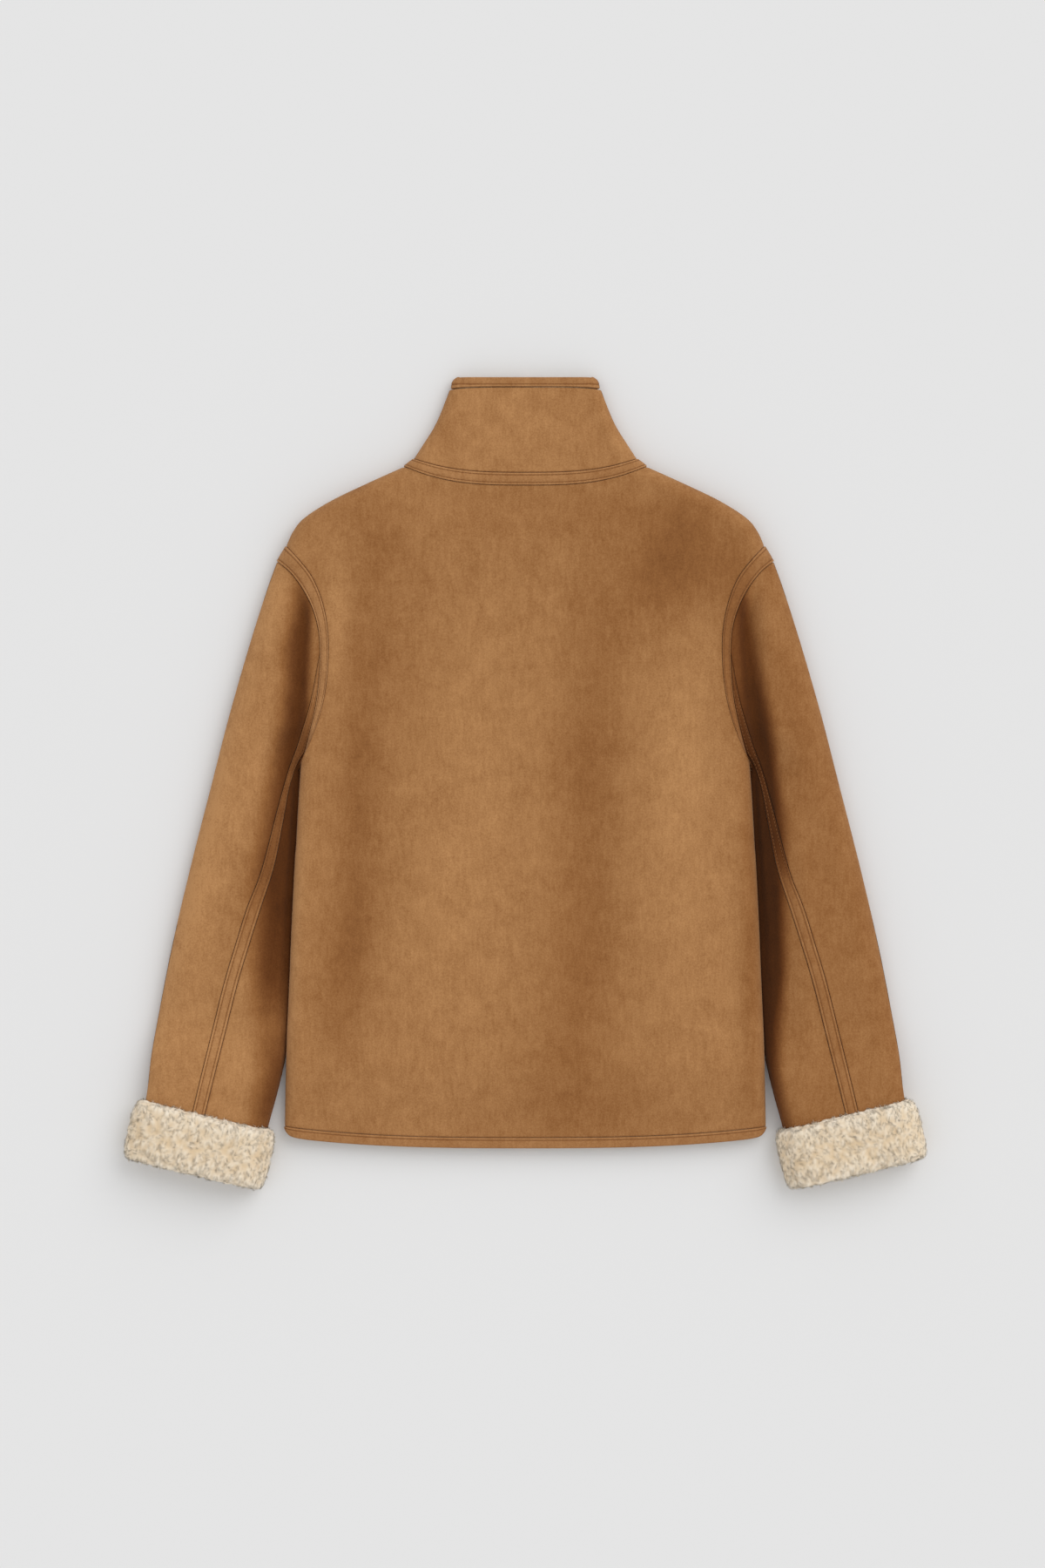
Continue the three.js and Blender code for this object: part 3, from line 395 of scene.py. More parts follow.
def suede(name, colour, nap_turn=0.0):
    """Brushed suede. Its nap is lighter and darker in clouds, spots, brush strokes and single fibres,
    times the tone that the piece carries, which holds painted shade and painted light. Darker colour,
    painted shade included, is also redder. Fibres and grain stand up as bump."""
    material, tree, shader = new_material(name, 0.95, colour)
    where = node(tree, "TexCoord").outputs["Object"]
    brushed = node(tree, "Mapping", {"Vector": where, "Rotation": (0, 0, nap_turn), "Scale": (1, 0.22, 1)})
    patterns = [
        (noise_pattern(tree, where, 10, 2), 0.20),
        (noise_pattern(tree, where, 48, 6, 0.65, 0.5), 0.50),
        (noise_pattern(tree, brushed.outputs[0], 300, 4, 0.65), 0.42),
        (noise_pattern(tree, where, 620, 3, 0.65), 0.62),
    ]
    total = 1 - sum(share for _, share in patterns) / 2
    for pattern, share in patterns:
        total = node(tree, "Math", {0: pattern, 1: share, 2: total}, operation="MULTIPLY_ADD").outputs[0]
    tone = node(tree, "Attribute", attribute_name="tone").outputs["Fac"]
    total = node(tree, "Math", {0: total, 1: tone}, operation="MULTIPLY").outputs[0]
    half_share = node(tree, "Math", {0: total, 1: 0.5}, operation="MULTIPLY").outputs[0]
    ramp = node(tree, "ValToRGB", {"Fac": half_share}).color_ramp
    stops = [
        (0.05, (0.10, 0.06, 0.025)), (0.14, (0.28, 0.175, 0.08)), (0.22, (0.44, 0.32, 0.21)),
        (0.38, (0.76, 0.67, 0.56)), (0.50, (1, 1, 1)), (0.66, (1.32, 1.42, 1.55)),
    ]
    while len(ramp.elements) < len(stops):
        ramp.elements.new(0.5)
    for element, (place, share) in zip(ramp.elements, stops):
        element.position = place
        element.color = (*np.minimum(1, colour * share), 1)
    tree.links.new(tree.nodes["Color Ramp"].outputs["Color"], shader.inputs["Base Color"])
    grain = noise_pattern(tree, where, 190, 4, 0.65)
    low = node(tree, "Bump", {"Height": grain, "Strength": 0.35, "Distance": 0.0008})
    high = node(
        tree, "Bump",
        {"Height": patterns[3][0], "Strength": 0.5, "Distance": 0.0005, "Normal": low.outputs[0]},
    )
    tree.links.new(high.outputs[0], shader.inputs["Normal"])
    shader.inputs["Sheen Weight"].default_value = 0.12
    shader.inputs["Sheen Roughness"].default_value = 0.5
    shader.inputs["Sheen Tint"].default_value = (1.0, 0.84, 0.66, 1)
    return material


def pile(name, colour, lie=None):
    """Curly cream pile, yellower in spots. By the tone it carries, painted shade makes the roots and the
    clefts between locks a darker tan, and painted light makes the tips and the cuff's ends paler. Fine
    strands are lit by the directions in the attribute lie, as soft fibres that share their light."""
    material, tree, shader = new_material(name, 0.9, colour)
    where = node(tree, "TexCoord").outputs["Object"]
    spots = noise_pattern(tree, where, 55, 4, 0.6, 0.5)
    curls = noise_pattern(tree, where, 420, 3, 0.6)
    pale = (*np.minimum(1, colour * (1.02, 1.05, 1.10)), 1)
    yellower = (*colour * (0.97, 0.92, 0.84), 1)
    root_and_cleft_shade_colour = (*colour * (0.80, 0.66, 0.48), 1)
    tips = node(tree, "Mix", {0: spots, 6: pale, 7: yellower}, data_type="RGBA").outputs[2]
    tone = node(tree, "Attribute", attribute_name="tone").outputs["Fac"]
    shaded = node(tree, "Mix", {0: tone, 6: root_and_cleft_shade_colour, 7: tips}, data_type="RGBA").outputs[2]
    tree.links.new(shaded, shader.inputs["Base Color"])
    bump = node(tree, "Bump", {"Height": curls, "Strength": 0.5, "Distance": 0.0010})
    if lie:
        way = node(tree, "Attribute", attribute_name=lie).outputs["Vector"]
        tree.links.new(way, bump.inputs["Normal"])
    tree.links.new(bump.outputs[0], shader.inputs["Normal"])
    shader.inputs["Sheen Weight"].default_value = 0.5
    shader.inputs["Sheen Tint"].default_value = (1.0, 0.93, 0.82, 1)
    return material


def stand_for(made, cad_name):
    """Ties a piece to the jacket's body, and hides the solid that it replaces."""
    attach(made, "root")
    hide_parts(cad_name)


suede_nap = suede("suede_nap", SUEDE_COLOUR)
inside_pile = pile("inside_pile", linear(214, 198, 172))

outer_line = np.concatenate([along_line(SHOULDER), along_line(SLEEVE_OUTER)])
hem_corner = np.array([[HEM_HALF - HEM_CORNER_IN, HEM_EDGE + HEM_RISE + HEM_CORNER_UP]])
side_line = np.concatenate([along_line(SIDE)[::-1], hem_corner])
body_edge = np.concatenate([along_line(SIDE), along_line(ARMHOLE_BODY)])


def hem_seam(s):
    """The hem's seam at shares s of its half width. It rises towards the sides."""
    return np.stack([HEM_HALF * s, HEM_SEAM + HEM_RISE * np.abs(s) ** HEM_POWER], axis=-1)


def curve_up(line, share):
    """The height of a neck seam, which rises by the cube from the middle back to the shoulder."""
    return mix(line["back"], line["corner"], np.abs(share) ** 3)


def shoulder_at(share):
    """The shoulder line at shares of its tip's distance from the middle."""
    line = along_line(SHOULDER)
    x = np.abs(share) * SHOULDER[-1][0]
    return np.stack([np.sign(share) * x, np.interp(x, line[:, 0], line[:, 1])], axis=-1)


def right_half(p):
    """The places mirrored onto the right-hand side."""
    return np.stack([np.abs(p[..., 0]), p[..., 1]], axis=-1)


def body_folds(p, radius):
    """The fold nearest to each place of the body: the shoulder's or the side's."""
    over, over_way = nearest(outer_line, p)
    beside, beside_way = nearest(side_line, p)
    near_top = over < beside
    distance = np.where(near_top, over, beside)
    way = np.where(near_top[..., None], over_way, beside_way)
    at_underarm = np.linalg.norm(p - SIDE[-1], axis=-1) < 0.3
    first_step = np.subtract(ARMHOLE_BODY[1], ARMHOLE_BODY[0])
    way = np.where(at_underarm[..., None], unit(first_step), way)
    return distance, way, radius


def back_cells(p):
    """The back's cloth: level in its middle, lower towards the hem and the neck, with its soft folds, and
    rounded down to its folded edges."""
    right = right_half(p)
    fold = body_folds(right, BACK_EDGE_ROUND)
    lowered = mix(HEM_HEIGHT, BACK_HEIGHT, smooth((p[..., 1] - HEM_EDGE) / HEM_SLOPE_LENGTH))
    beside = smooth((right[..., 0] - NECK_SIDE_FROM) / NECK_SIDE_FADE)
    near_neck = smooth((p[..., 1] - NECK_SLOPE_FROM) / NECK_SLOPE_LENGTH) * (1 - beside)
    level = mix(lowered + soft_bands(p, BACK_FOLDS), NECK_HEIGHT, near_neck)
    z = mix(EDGE_HEIGHT, level, rounded(fold[0], BACK_EDGE_ROUND))
    return mirrored(wall(right, z, 1, [fold]), p[..., 0] < 0)


across = lines_over(HEM_HALF * 2, FOLD_LINES, FOLD_LINES, BACK_SPACING) * 2 - 1
rows = lines_over(BACK_LENGTH, SEAM_LINES, FOLD_LINES, BACK_SPACING)
neck_share = NECK["half"] / SHOULDER[-1][0]
in_neck = np.abs(across) <= neck_share
neck_top = np.stack([NECK["half"] * across / neck_share, curve_up(NECK, across / neck_share)], axis=-1)
top_edge = np.where(in_neck[:, None], neck_top, shoulder_at(across))
right_edge = at_height(body_edge, mix(SIDE[0][1], SHOULDER[-1][1], rows))
plan = patch(hem_seam(across), top_edge, right_edge * (-1, 1), right_edge, (across + 1) / 2, rows)
cells = seamed(back_cells(plan), ["first_row", "last_row", "first_column", "last_column"], 0.5)
back = wall_object("back_suede", cells, [suede_nap, inside_pile], tone=1 + soft_bands(plan, BACK_PAINTED_LIGHT_AND_SHADE))
stand_for(back, "back")

# The fronts: two pieces of the same suede that lie face down on the surface, the right one lapped
# under the left one as it lies here. They are hidden below the back, and finished as plainly.
SIDES = (("right", 1), ("left", -1))
UNDER_EDGE_ROUND = 12.0
LAP_RISE_FROM, LAP_RISE_TO = 58.0, 26.0
FRONT_LAP_ANGLE = -4.9
FRONT_LENGTH, FRONT_SPACING = 600, 5.5
FRONT_LINES = 12 * (1 - np.cos(np.radians(np.arange(0, 91, 15))))


def lap_rise(p):
    """How much the left front is raised to lie on the right one."""
    return (CLOTH + SEAM_GAP) * smooth((p[..., 0] + LAP_RISE_FROM) / (LAP_RISE_FROM - LAP_RISE_TO))


def front_cells(p, left):
    """A front's cloth: flat on the surface, and rounded up to its folded edges."""
    right = right_half(p)
    fold = body_folds(right, UNDER_EDGE_ROUND)
    z = EDGE_HEIGHT * (1 - rounded(fold[0], UNDER_EDGE_ROUND)) + left * lap_rise(p)
    return mirrored(wall(right, z, -1, [fold]), p[..., 0] < 0)


neck_angles = np.radians(np.linspace(FRONT_LAP_ANGLE, 90, 34))
shoulder_shares = lines_over(SHOULDER[-1][0] - NECK["half"], [0], FRONT_LINES, 5)
shoulder_shares = mix(neck_share, 1, shoulder_shares[1:])
front_across = np.concatenate([neck_share * np.sin(neck_angles), shoulder_shares])
front_rows = lines_over(FRONT_LENGTH, SEAM_LINES, FRONT_LINES, FRONT_SPACING)
neck_front = np.stack([
    NECK["half"] * np.sin(neck_angles), NECK["corner"] - NECK["drop"] * np.cos(neck_angles),
], axis=-1)
front_top = np.concatenate([neck_front, shoulder_at(shoulder_shares)])
front_right_edge = at_height(body_edge, mix(SIDE[0][1], SHOULDER[-1][1], front_rows))
front_low = hem_seam(front_across)
front_middle = mix(front_low[0], front_top[0], front_rows[:, None])
front_us = (front_across - front_across[0]) / (1 - front_across[0])
front_plan = patch(front_low, front_top, front_middle, front_right_edge, front_us, front_rows)
for side, sign in SIDES:
    cells = front_cells(front_plan * (sign, 1), sign < 0)
    cells = seamed(cells, ["first_row", "last_row", "last_column"])
    front = wall_object(f"front_suede_{side}", cells, [suede_nap, inside_pile])
    stand_for(front, f"front_{side}")

# The hem: a strip of the same suede sewn round the lower edge and turned under there, with one row of
# stitches beside its seam. It puckers a little between the stitches.
TAPE_RISE = 1.1
TAPE_EDGE = 0.8
STITCH_INSET = 2.5
TAPE_EDGE_LINES = [0, 0.4, 0.9, 1.6, 2.1, STITCH_INSET, 2.9, 3.4]
GROOVE_WIDTH, GROOVE_DEPTH = 0.6, 0.4
PUCKER_HEIGHT = 0.12
PUCKER_PACE = 0.85
STITCH_PITCH = 3.6
STITCH_LENGTH = 2.7
THREAD_RADIUS = 0.27
THREAD_LIFT = 0.12
THREAD_COLOUR = linear(138, 92, 55)
# Painted shade along a tape's edges and stitch grooves and a painted highlight on the rib between them: how
# strong, then their width, where the rib is and its width.
EDGE_SHADE, GROOVE_SHADE, RIB_LIGHT = 0.12, 0.30, 0.15
SHADE_WIDTH, RIB_AT, RIB_WIDTH = 0.5, 1.2, 0.6
HEM_TONE = 0.96

suede_tape = suede("suede_tape", linear(164, 116, 72))
thread_gloss, _, _ = new_material("thread", 0.6, THREAD_COLOUR)


def tape_lines(width):
    """Shares across a tape, close together at its edges and at its two rows of stitches."""
    return lines_over(width, TAPE_EDGE_LINES, TAPE_EDGE_LINES, 2.2)


def groove_columns(lines, width, count=2):
    """The columns of a tape nearest to its one or two rows of stitches."""
    distances = (STITCH_INSET, width - STITCH_INSET)[:count]
    return [int(np.argmin(np.abs(lines * width - distance))) for distance in distances]


def turned(cells):
    """The same walls with rows and columns changed over."""
    return tuple(np.swapaxes(grid, 0, 1) for grid in cells)


def raise_tape(cells, lines, width, grooves=(0, 1), pucker=PUCKER_HEIGHT):
    """Stands a tape up from its cloth: a smooth step at its edges, a groove at each row of stitches, and
    small puckers along it. Rows run along the tape and columns across it."""
    outer, inner = cells
    along = length_gone(outer[:, 0])[:, None]
    first, last = lines * width, (1 - lines) * width
    height = TAPE_RISE * smooth(np.minimum(first, last) / TAPE_EDGE)[None]
    wave = np.sin(along * PUCKER_PACE + np.sin(along * 0.11) * 3)
    height = height + pucker * wave * (height / TAPE_RISE)
    for k, distance in enumerate((first, last)):
        if k in grooves:
            height = height - GROOVE_DEPTH * np.exp(-((distance - STITCH_INSET) / GROOVE_WIDTH) ** 2)
    raised = outer + unit(outer - inner) * height[..., None]
    raised[..., 2] = np.maximum(raised[..., 2], 0)
    return raised, inner


def tape_painted_light_and_shade(lines, width, grooves=(0, 1)):
    """The tone across a tape: painted shade at its two edges and along each row of stitches, and a
    painted highlight on the rib between an edge and its stitches."""
    first, last = lines * width, (1 - lines) * width
    shade = 1 - EDGE_SHADE * np.exp(-((np.minimum(first, last) / SHADE_WIDTH) ** 2))
    for k, distance in enumerate((first, last)):
        if k in grooves:
            shade = shade * (1 - GROOVE_SHADE * np.exp(-((distance - STITCH_INSET) / SHADE_WIDTH) ** 2))
            shade = shade * (1 + RIB_LIGHT * np.exp(-((distance - RIB_AT) / RIB_WIDTH) ** 2))
    return shade[None]


def between(first, second, lines):
    """The walls of a tape between its two edges, straight across."""
    share = lines[None, :, None]
    return tuple(mix(a[:, None], b[:, None], share) for a, b in zip(first, second))


def stitches(name, tape, columns):
    """Rows of thread: a short rod with narrowed ends for each stitch, laid in a tape's grooves."""
    sides = 5
    turn = np.arange(sides) * 2 * np.pi / sides
    stations = np.array([(-0.5, 0.45), (-0.3, 1), (0.3, 1), (0.5, 0.45)])
    ring = np.stack([
        np.repeat(stations[:, 0] * STITCH_LENGTH, sides),
        np.outer(stations[:, 1], np.cos(turn)).ravel() * THREAD_RADIUS,
        np.outer(stations[:, 1], np.sin(turn)).ravel() * THREAD_RADIUS,
    ], axis=-1)
    a = np.arange(len(stations) * sides).reshape(-1, sides)
    b = np.roll(a, -1, axis=1)
    rod = np.stack([a[:-1], b[:-1], b[1:], a[1:]], -1).reshape(-1, 4).tolist()
    caps = [a[0][::-1].tolist(), a[-1].tolist()]
    outer, inner = tape
    points, faces = [], []
    for column in columns:
        path, out = outer[:, column], outer[:, column] - inner[:, column]
        gone = length_gone(path)
        at = np.arange(STITCH_PITCH, gone[-1] - STITCH_PITCH / 2, STITCH_PITCH)
        before, middle, after = (at_distances(path, gone, at + shift) for shift in (-0.5, 0, 0.5))
        way = unit(after - before)
        up = unit(square_part(at_distances(out, gone, at), way))
        flat = np.cross(up, way)
        middle = middle + up * THREAD_LIFT
        placed = (
            middle[:, None] + ring[None, :, :1] * way[:, None]
            + ring[None, :, 1:2] * flat[:, None] + ring[None, :, 2:] * up[:, None]
        )
        first = sum(len(p) for p in points)
        for k in range(len(at)):
            shift = first + k * len(ring)
            faces += [[i + shift for i in face] for face in rod + caps]
        points.append(placed.reshape(-1, 3))
    made = new_object(name, np.concatenate(points), faces, [thread_gloss])
    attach(made, "root")
    return made


def hem_edge(s):
    """The hem's lower edge, with its rounded corners."""
    corner = np.abs(s) ** HEM_CORNER_POWER
    x = s * (HEM_HALF - HEM_CORNER_IN * corner)
    return np.stack([x, HEM_EDGE + HEM_RISE * np.abs(s) ** HEM_POWER + HEM_CORNER_UP * corner], axis=-1)


def tape_object(name, cells, cad_name, tone, ring=False):
    """A tape's object, which stands for its node in the solids."""
    made = wall_object(name, cells, [suede_tape, inside_pile], ring=ring, tone=tone)
    stand_for(made, cad_name)
    return made


hem_width = HEM_SEAM - HEM_EDGE
hem_lines = tape_lines(hem_width)
for name, s, cloth in (
    ("back", across, back_cells),
    ("front_right", front_across, lambda p: front_cells(p, False)),
    ("front_left", -front_across, lambda p: front_cells(p, True)),
):
    tape = between(cloth(hem_seam(s)), cloth(hem_edge(s)), hem_lines)
    tape = seamed(tape, ["first_row", "last_row", "first_column", "last_column"], 0.6)
    if name == "back":
        tape = raise_tape(tape, hem_lines, hem_width, grooves=(0,))
    tone = HEM_TONE * tape_painted_light_and_shade(hem_lines, hem_width, (0,))
    made = tape_object(f"hem_tape_{name}", tape, f"hem_band_{name}", tone)
    sewn = []
    if name == "back":
        sewn = [stitches("hem_stitches_back", tape, groove_columns(hem_lines, hem_width, 1))]

# The sleeves: two long cuts each, a top one round the outer edge and an under one beside the body,
# joined by the taped seam behind and a plain seam below. They are turned down beside the back.
SLEEVE_TILT = np.radians(13.5)
CUFF_MIDDLE = np.array([314.3, -349.4])
UNDERARM_EDGE_HEIGHT = 3.6
SLEEVE_HEIGHT, SLEEVE_HEAD_HEIGHT, SLEEVE_HEAD_LENGTH = 27.0, 22.0, 40.0
WRIST_HEIGHT, WRIST_LIFT = 21.0, 9.0
LIFT_FROM, LIFT_LENGTH = 125.0, 70.0
SLEEVE_LENGTH, SLEEVE_SPACING = 560, 3.6
WRIST_FROM, WRIST_LENGTH = 190.0, 130.0
SLEEVE_EDGE_ROUND, UNDERARM_ROUND, UNDERARM_SLOPE = 32.0, 5.0, 50.0
SLEEVE_INNER = [
    (218.4, 13.4), (216.6, 5), (216.4, -10), (217.8, -34), (220.8, -80), (224.5, -134), (226.7, -186),
    (229.0, -235), (231.6, -265), (238.5, -297), (248.5, -334), (259.9, -381.5),
]
SEAM_BAND_OUTER = [
    (197.6, 124), (206.5, 78), (219, 38), (229, 10), (238.5, -25), (254, -85),
    (267.3, -120), (278.5, -156), (293, -206), (320, -318), (331.2, -364.4),
]
SEAM_BAND_INNER = [
    (212.8, 29.5), (220.6, 17.0), (225.4, 3), (229, -12), (233.5, -38), (242, -81),
    (254.3, -120), (265.5, -156), (280, -206), (308.3, -321), (319.4, -367.2),
]
UNDER_SEAM = [(208.5, 176), (232, 95), (252, 10), (272, -80), (291, -170), (308, -260), (325.5, -365.8)]
SLEEVE_CREASE = [(211, 182), (216.5, 133), (219.4, 83), (225, 32), (229, -1)]
CREASE_DEPTH, CREASE_WIDTH = 8.0, 10.0
BAND_FROM, BAND_TO, UNDER_SEAM_FROM = 1 / 11, 5 / 11, 8 / 11
SLEEVE_FOLDS = [
    (262, 120, -0.25, 80, 9, -0.9), (280, 30, -0.25, 110, 11, 0.8), (262, -20, -0.20, 90, 10, -1.0),
    (300, -110, -0.22, 120, 13, -0.9), (322, -150, -0.2, 100, 12, 0.8), (286, -240, -0.22, 80, 10, -0.9),
    (332, -270, -0.2, 70, 12, -0.7),
]
# Painted light along the ridges of the sleeve's folds and painted shade beside them, in the same numbers as a
# fold.
SLEEVE_PAINTED_BANDS = [
    (250, 150, -0.3, 60, 14, 0.06), (290, 20, -0.24, 160, 16, 0.05), (262, 60, -0.3, 100, 12, -0.06),
    (318, -140, -0.22, 140, 18, 0.04), (284, -130, -0.22, 130, 14, -0.05), (340, -280, -0.2, 70, 16, 0.05),
]
# Painted light along the left sleeve's outer edge and painted shade along the right one's, in the same
# numbers as a fold.
OUTER_EDGE_PAINTED_LIGHT = {"right": (308, -80, -0.236, 330, 18, -0.09), "left": (315, -80, -0.236, 330, 12, 0.14)}
# How far the painted valley shade lifts on its side next to the body, near the armhole.
INNER_LIGHT = {"right": 0.30, "left": 0.68}
# Each sleeve's painted light all over: the left one painted lighter and the right one darker.
SLEEVE_SIDE_PAINTED_LIGHT = {"right": 0.86, "left": 1.11}
# Painted shade in the valley where each sleeve dips beside the body, from the armhole down: its
# height, where the painted shade is darkest from and to, how far its outer side fades, and how light
# it is at its darkest.
PAINTED_VALLEY_SHADE = {
    "right": [
        (225, 207, 208, 10, 0.8), (205, 207, 208, 12, 0.45), (184, 206, 205, 16, 0.36),
        (167, 208, 209, 14, 0.33), (133, 210, 214, 16, 0.31), (100, 213, 219, 18, 0.28),
        (58, 216, 228, 18, 0.25), (16, 219, 235, 14, 0.21), (-43, 222, 240, 19, 0.18),
        (-127, 224, 241, 18, 0.18), (-186, 226, 243, 15, 0.21), (-236, 228, 236, 20, 0.23),
        (-278, 230, 235, 16, 0.23), (-304, 240, 240, 16, 0.28), (-350, 250, 252, 16, 0.5),
    ],
    "left": [
        (205, 213, 213, 16, 0.85), (184, 212, 213, 24, 0.45), (167, 210, 212, 26, 0.32),
        (133, 212, 216, 30, 0.25), (100, 213, 217, 27, 0.25), (58, 215, 221, 29, 0.25),
        (16, 218, 227, 33, 0.22), (-43, 221, 234, 37, 0.22), (-85, 222, 242, 38, 0.22),
        (-127, 225, 240, 42, 0.24), (-186, 229, 246, 30, 0.3), (-236, 230, 243, 36, 0.6),
        (-278, 234, 237, 34, 0.35), (-304, 242, 243, 34, 0.3), (-350, 250, 252, 28, 0.5),
    ],
}

armhole_line = along_line(ARMHOLE_SLEEVE)
underarm_line = along_line(SLEEVE_INNER)[::-1]
underarm_end = np.subtract(ARMHOLE_SLEEVE[1], ARMHOLE_SLEEVE[0])
crease_line = along_line(SLEEVE_CREASE)


def sleeve_cells(p, up):
    """A sleeve's cloth, on its upper side or its underside. The upper side is padded between its two
    edges, low beside the body and in the crease at the armhole, and lifted where the cuff holds it up."""
    outer, outer_way = nearest(outer_line, p)
    inner, inner_way = nearest(underarm_line, p, underarm_end)
    from_middle = p - CUFF_MIDDLE
    along = from_middle[..., 0] * np.sin(SLEEVE_TILT) - from_middle[..., 1] * np.cos(SLEEVE_TILT)
    lift = WRIST_LIFT * smooth((along + LIFT_FROM) / LIFT_LENGTH)
    if up > 0:
        from_armhole, _ = nearest(armhole_line, p)
        to_wrist = smooth((along + WRIST_FROM) / WRIST_LENGTH)
        padded = mix(SLEEVE_HEAD_HEIGHT, SLEEVE_HEIGHT, smooth(from_armhole / SLEEVE_HEAD_LENGTH))
        height = mix(padded, WRIST_HEIGHT, to_wrist)
        inward = mix(smooth(inner / UNDERARM_SLOPE), rounded(inner, SLEEVE_EDGE_ROUND), to_wrist)
        foot = mix(
            UNDERARM_EDGE_HEIGHT * (1 + rounded(inner, UNDERARM_ROUND)), EDGE_HEIGHT,
            smooth((inner - UNDERARM_ROUND) / UNDERARM_ROUND),
        )
        padding = (height - EDGE_HEIGHT) * inward * rounded(outer, SLEEVE_EDGE_ROUND)
        crease, _ = nearest(crease_line, p)
        sunk = CREASE_DEPTH * np.exp(-((crease / CREASE_WIDTH) ** 2)) * smooth(from_armhole / 12)
        folds_in = soft_bands(p, SLEEVE_FOLDS) * smooth(padding / 8) * (1 - smooth((along + 60) / 50))
        z = foot + padding - sunk * smooth(padding / 10) + lift + folds_in
    else:
        outer_rise = EDGE_HEIGHT * (1 - rounded(outer, UNDER_EDGE_ROUND))
        inner_rise = UNDERARM_EDGE_HEIGHT * (1 - rounded(inner, UNDERARM_ROUND))
        z = np.maximum(outer_rise, inner_rise) + lift
    outer_radius = SLEEVE_EDGE_ROUND if up > 0 else UNDER_EDGE_ROUND
    return wall(p, z, up, [(outer, outer_way, outer_radius), (inner, inner_way, UNDERARM_ROUND)])


def sleeve_painted_light_and_shade(p, side):
    """The tone on a sleeve: painted shade down in the valley beside the body, painted light and shade in
    soft bands elsewhere, and the side's painted light over all.
    """
    height, first, last, fade, darkest = np.array(PAINTED_VALLEY_SHADE[side][::-1], float).T
    at = [np.interp(p[..., 1], height, values) for values in (first, last, fade, darkest)]
    outside = smooth((p[..., 0] - at[1]) / at[2])
    inside = smooth((at[0] - p[..., 0]) / 9) * smooth((p[..., 1] - 40) / 60)
    # The painted valley shade, lifted on its side next to the body near the armhole.
    level = at[3] + (1 - at[3]) * np.maximum(outside, INNER_LIGHT[side] * inside)
    return (1 + soft_bands(p, SLEEVE_PAINTED_BANDS + [OUTER_EDGE_PAINTED_LIGHT[side]])) * level * SLEEVE_SIDE_PAINTED_LIGHT[side]


def sleeve_plan(start, fold, steps, armhole_from, armhole_to, shares, fade):
    """One side of a cut, from its seam to its folded edge. Its first row follows the armhole, and the
    rows after it become straight."""
    t = steps[None, :, None]
    armhole = curve(ARMHOLE_SLEEVE, mix(armhole_from, armhole_to, steps))
    bulge = armhole - mix(armhole[0], armhole[-1], steps[:, None])
    rows = mix(start[:, None], fold[:, None], t) + bulge[None] * (1 - shares[:, None, None]) ** fade
    rows[0] = armhole
    return rows


def joined_round(over, under):
    """The walls of a cut that goes round a folded edge: over it and back below it."""
    tops, bottoms = sleeve_cells(over, 1), sleeve_cells(under[:, -2::-1], -1)
    return tuple(np.concatenate([a, b], axis=1) for a, b in zip(tops, bottoms))


def fold_steps(width, radius, count, spacing, seam=SEAM_LINES):
    """Shares from a seam to a folded edge, close together at both."""
    turns = radius * (1 - np.cos(np.linspace(0, np.pi / 2, count)))
    return lines_over(width, seam, turns, spacing)


band_outer_line = along_line(SEAM_BAND_OUTER)
sleeve_rows = lines_over(SLEEVE_LENGTH, SEAM_LINES, [0, 2], SLEEVE_SPACING)
top_steps = fold_steps(75, 32, 11, 4.2)
top_under_steps = fold_steps(70, 12, 7, 6)
under_steps = fold_steps(60, 5, 6, 4.2)
under_under_steps = fold_steps(60, 5, 5, 7)
sleeve_outer_rows = even_curve(SLEEVE_OUTER, sleeve_rows)
sleeve_inner_rows = even_curve(SLEEVE_INNER, sleeve_rows)
under_seam_rows = even_curve(UNDER_SEAM, sleeve_rows)
band_rows = at_height(band_outer_line, mix(SEAM_BAND_OUTER[0][1], SEAM_BAND_OUTER[-1][1], sleeve_rows))
top_over = sleeve_plan(band_rows, sleeve_outer_rows, top_steps, BAND_TO, 1, sleeve_rows, 6)
top_under = sleeve_plan(
    under_seam_rows, sleeve_outer_rows, top_under_steps, UNDER_SEAM_FROM, 1, sleeve_rows, 6)
under_over = sleeve_plan(
    even_curve(SEAM_BAND_INNER, sleeve_rows), sleeve_inner_rows, under_steps, BAND_FROM, 0, sleeve_rows, 60)
under_under = sleeve_plan(
    under_seam_rows, sleeve_inner_rows, under_under_steps, UNDER_SEAM_FROM, 0, sleeve_rows, 60)

suede_sleeve = suede("suede_sleeve", SUEDE_COLOUR, nap_turn=-SLEEVE_TILT)
for side, sign in SIDES:
    for cut, over, under in (("top", top_over, top_under), ("under", under_over, under_under)):
        cells = seamed(joined_round(over, under), ["first_row", "first_column", "last_column"])
        below = np.ones(under[:, -2::-1].shape[:2])
        tone = np.concatenate([sleeve_painted_light_and_shade(over, side), below], axis=1)
        sleeve = wall_object(
            f"{cut}_sleeve_suede_{side}", mirrored(cells, sign < 0), [suede_sleeve, inside_pile], tone=tone)
        stand_for(sleeve, f"{cut}_sleeve_{side}")

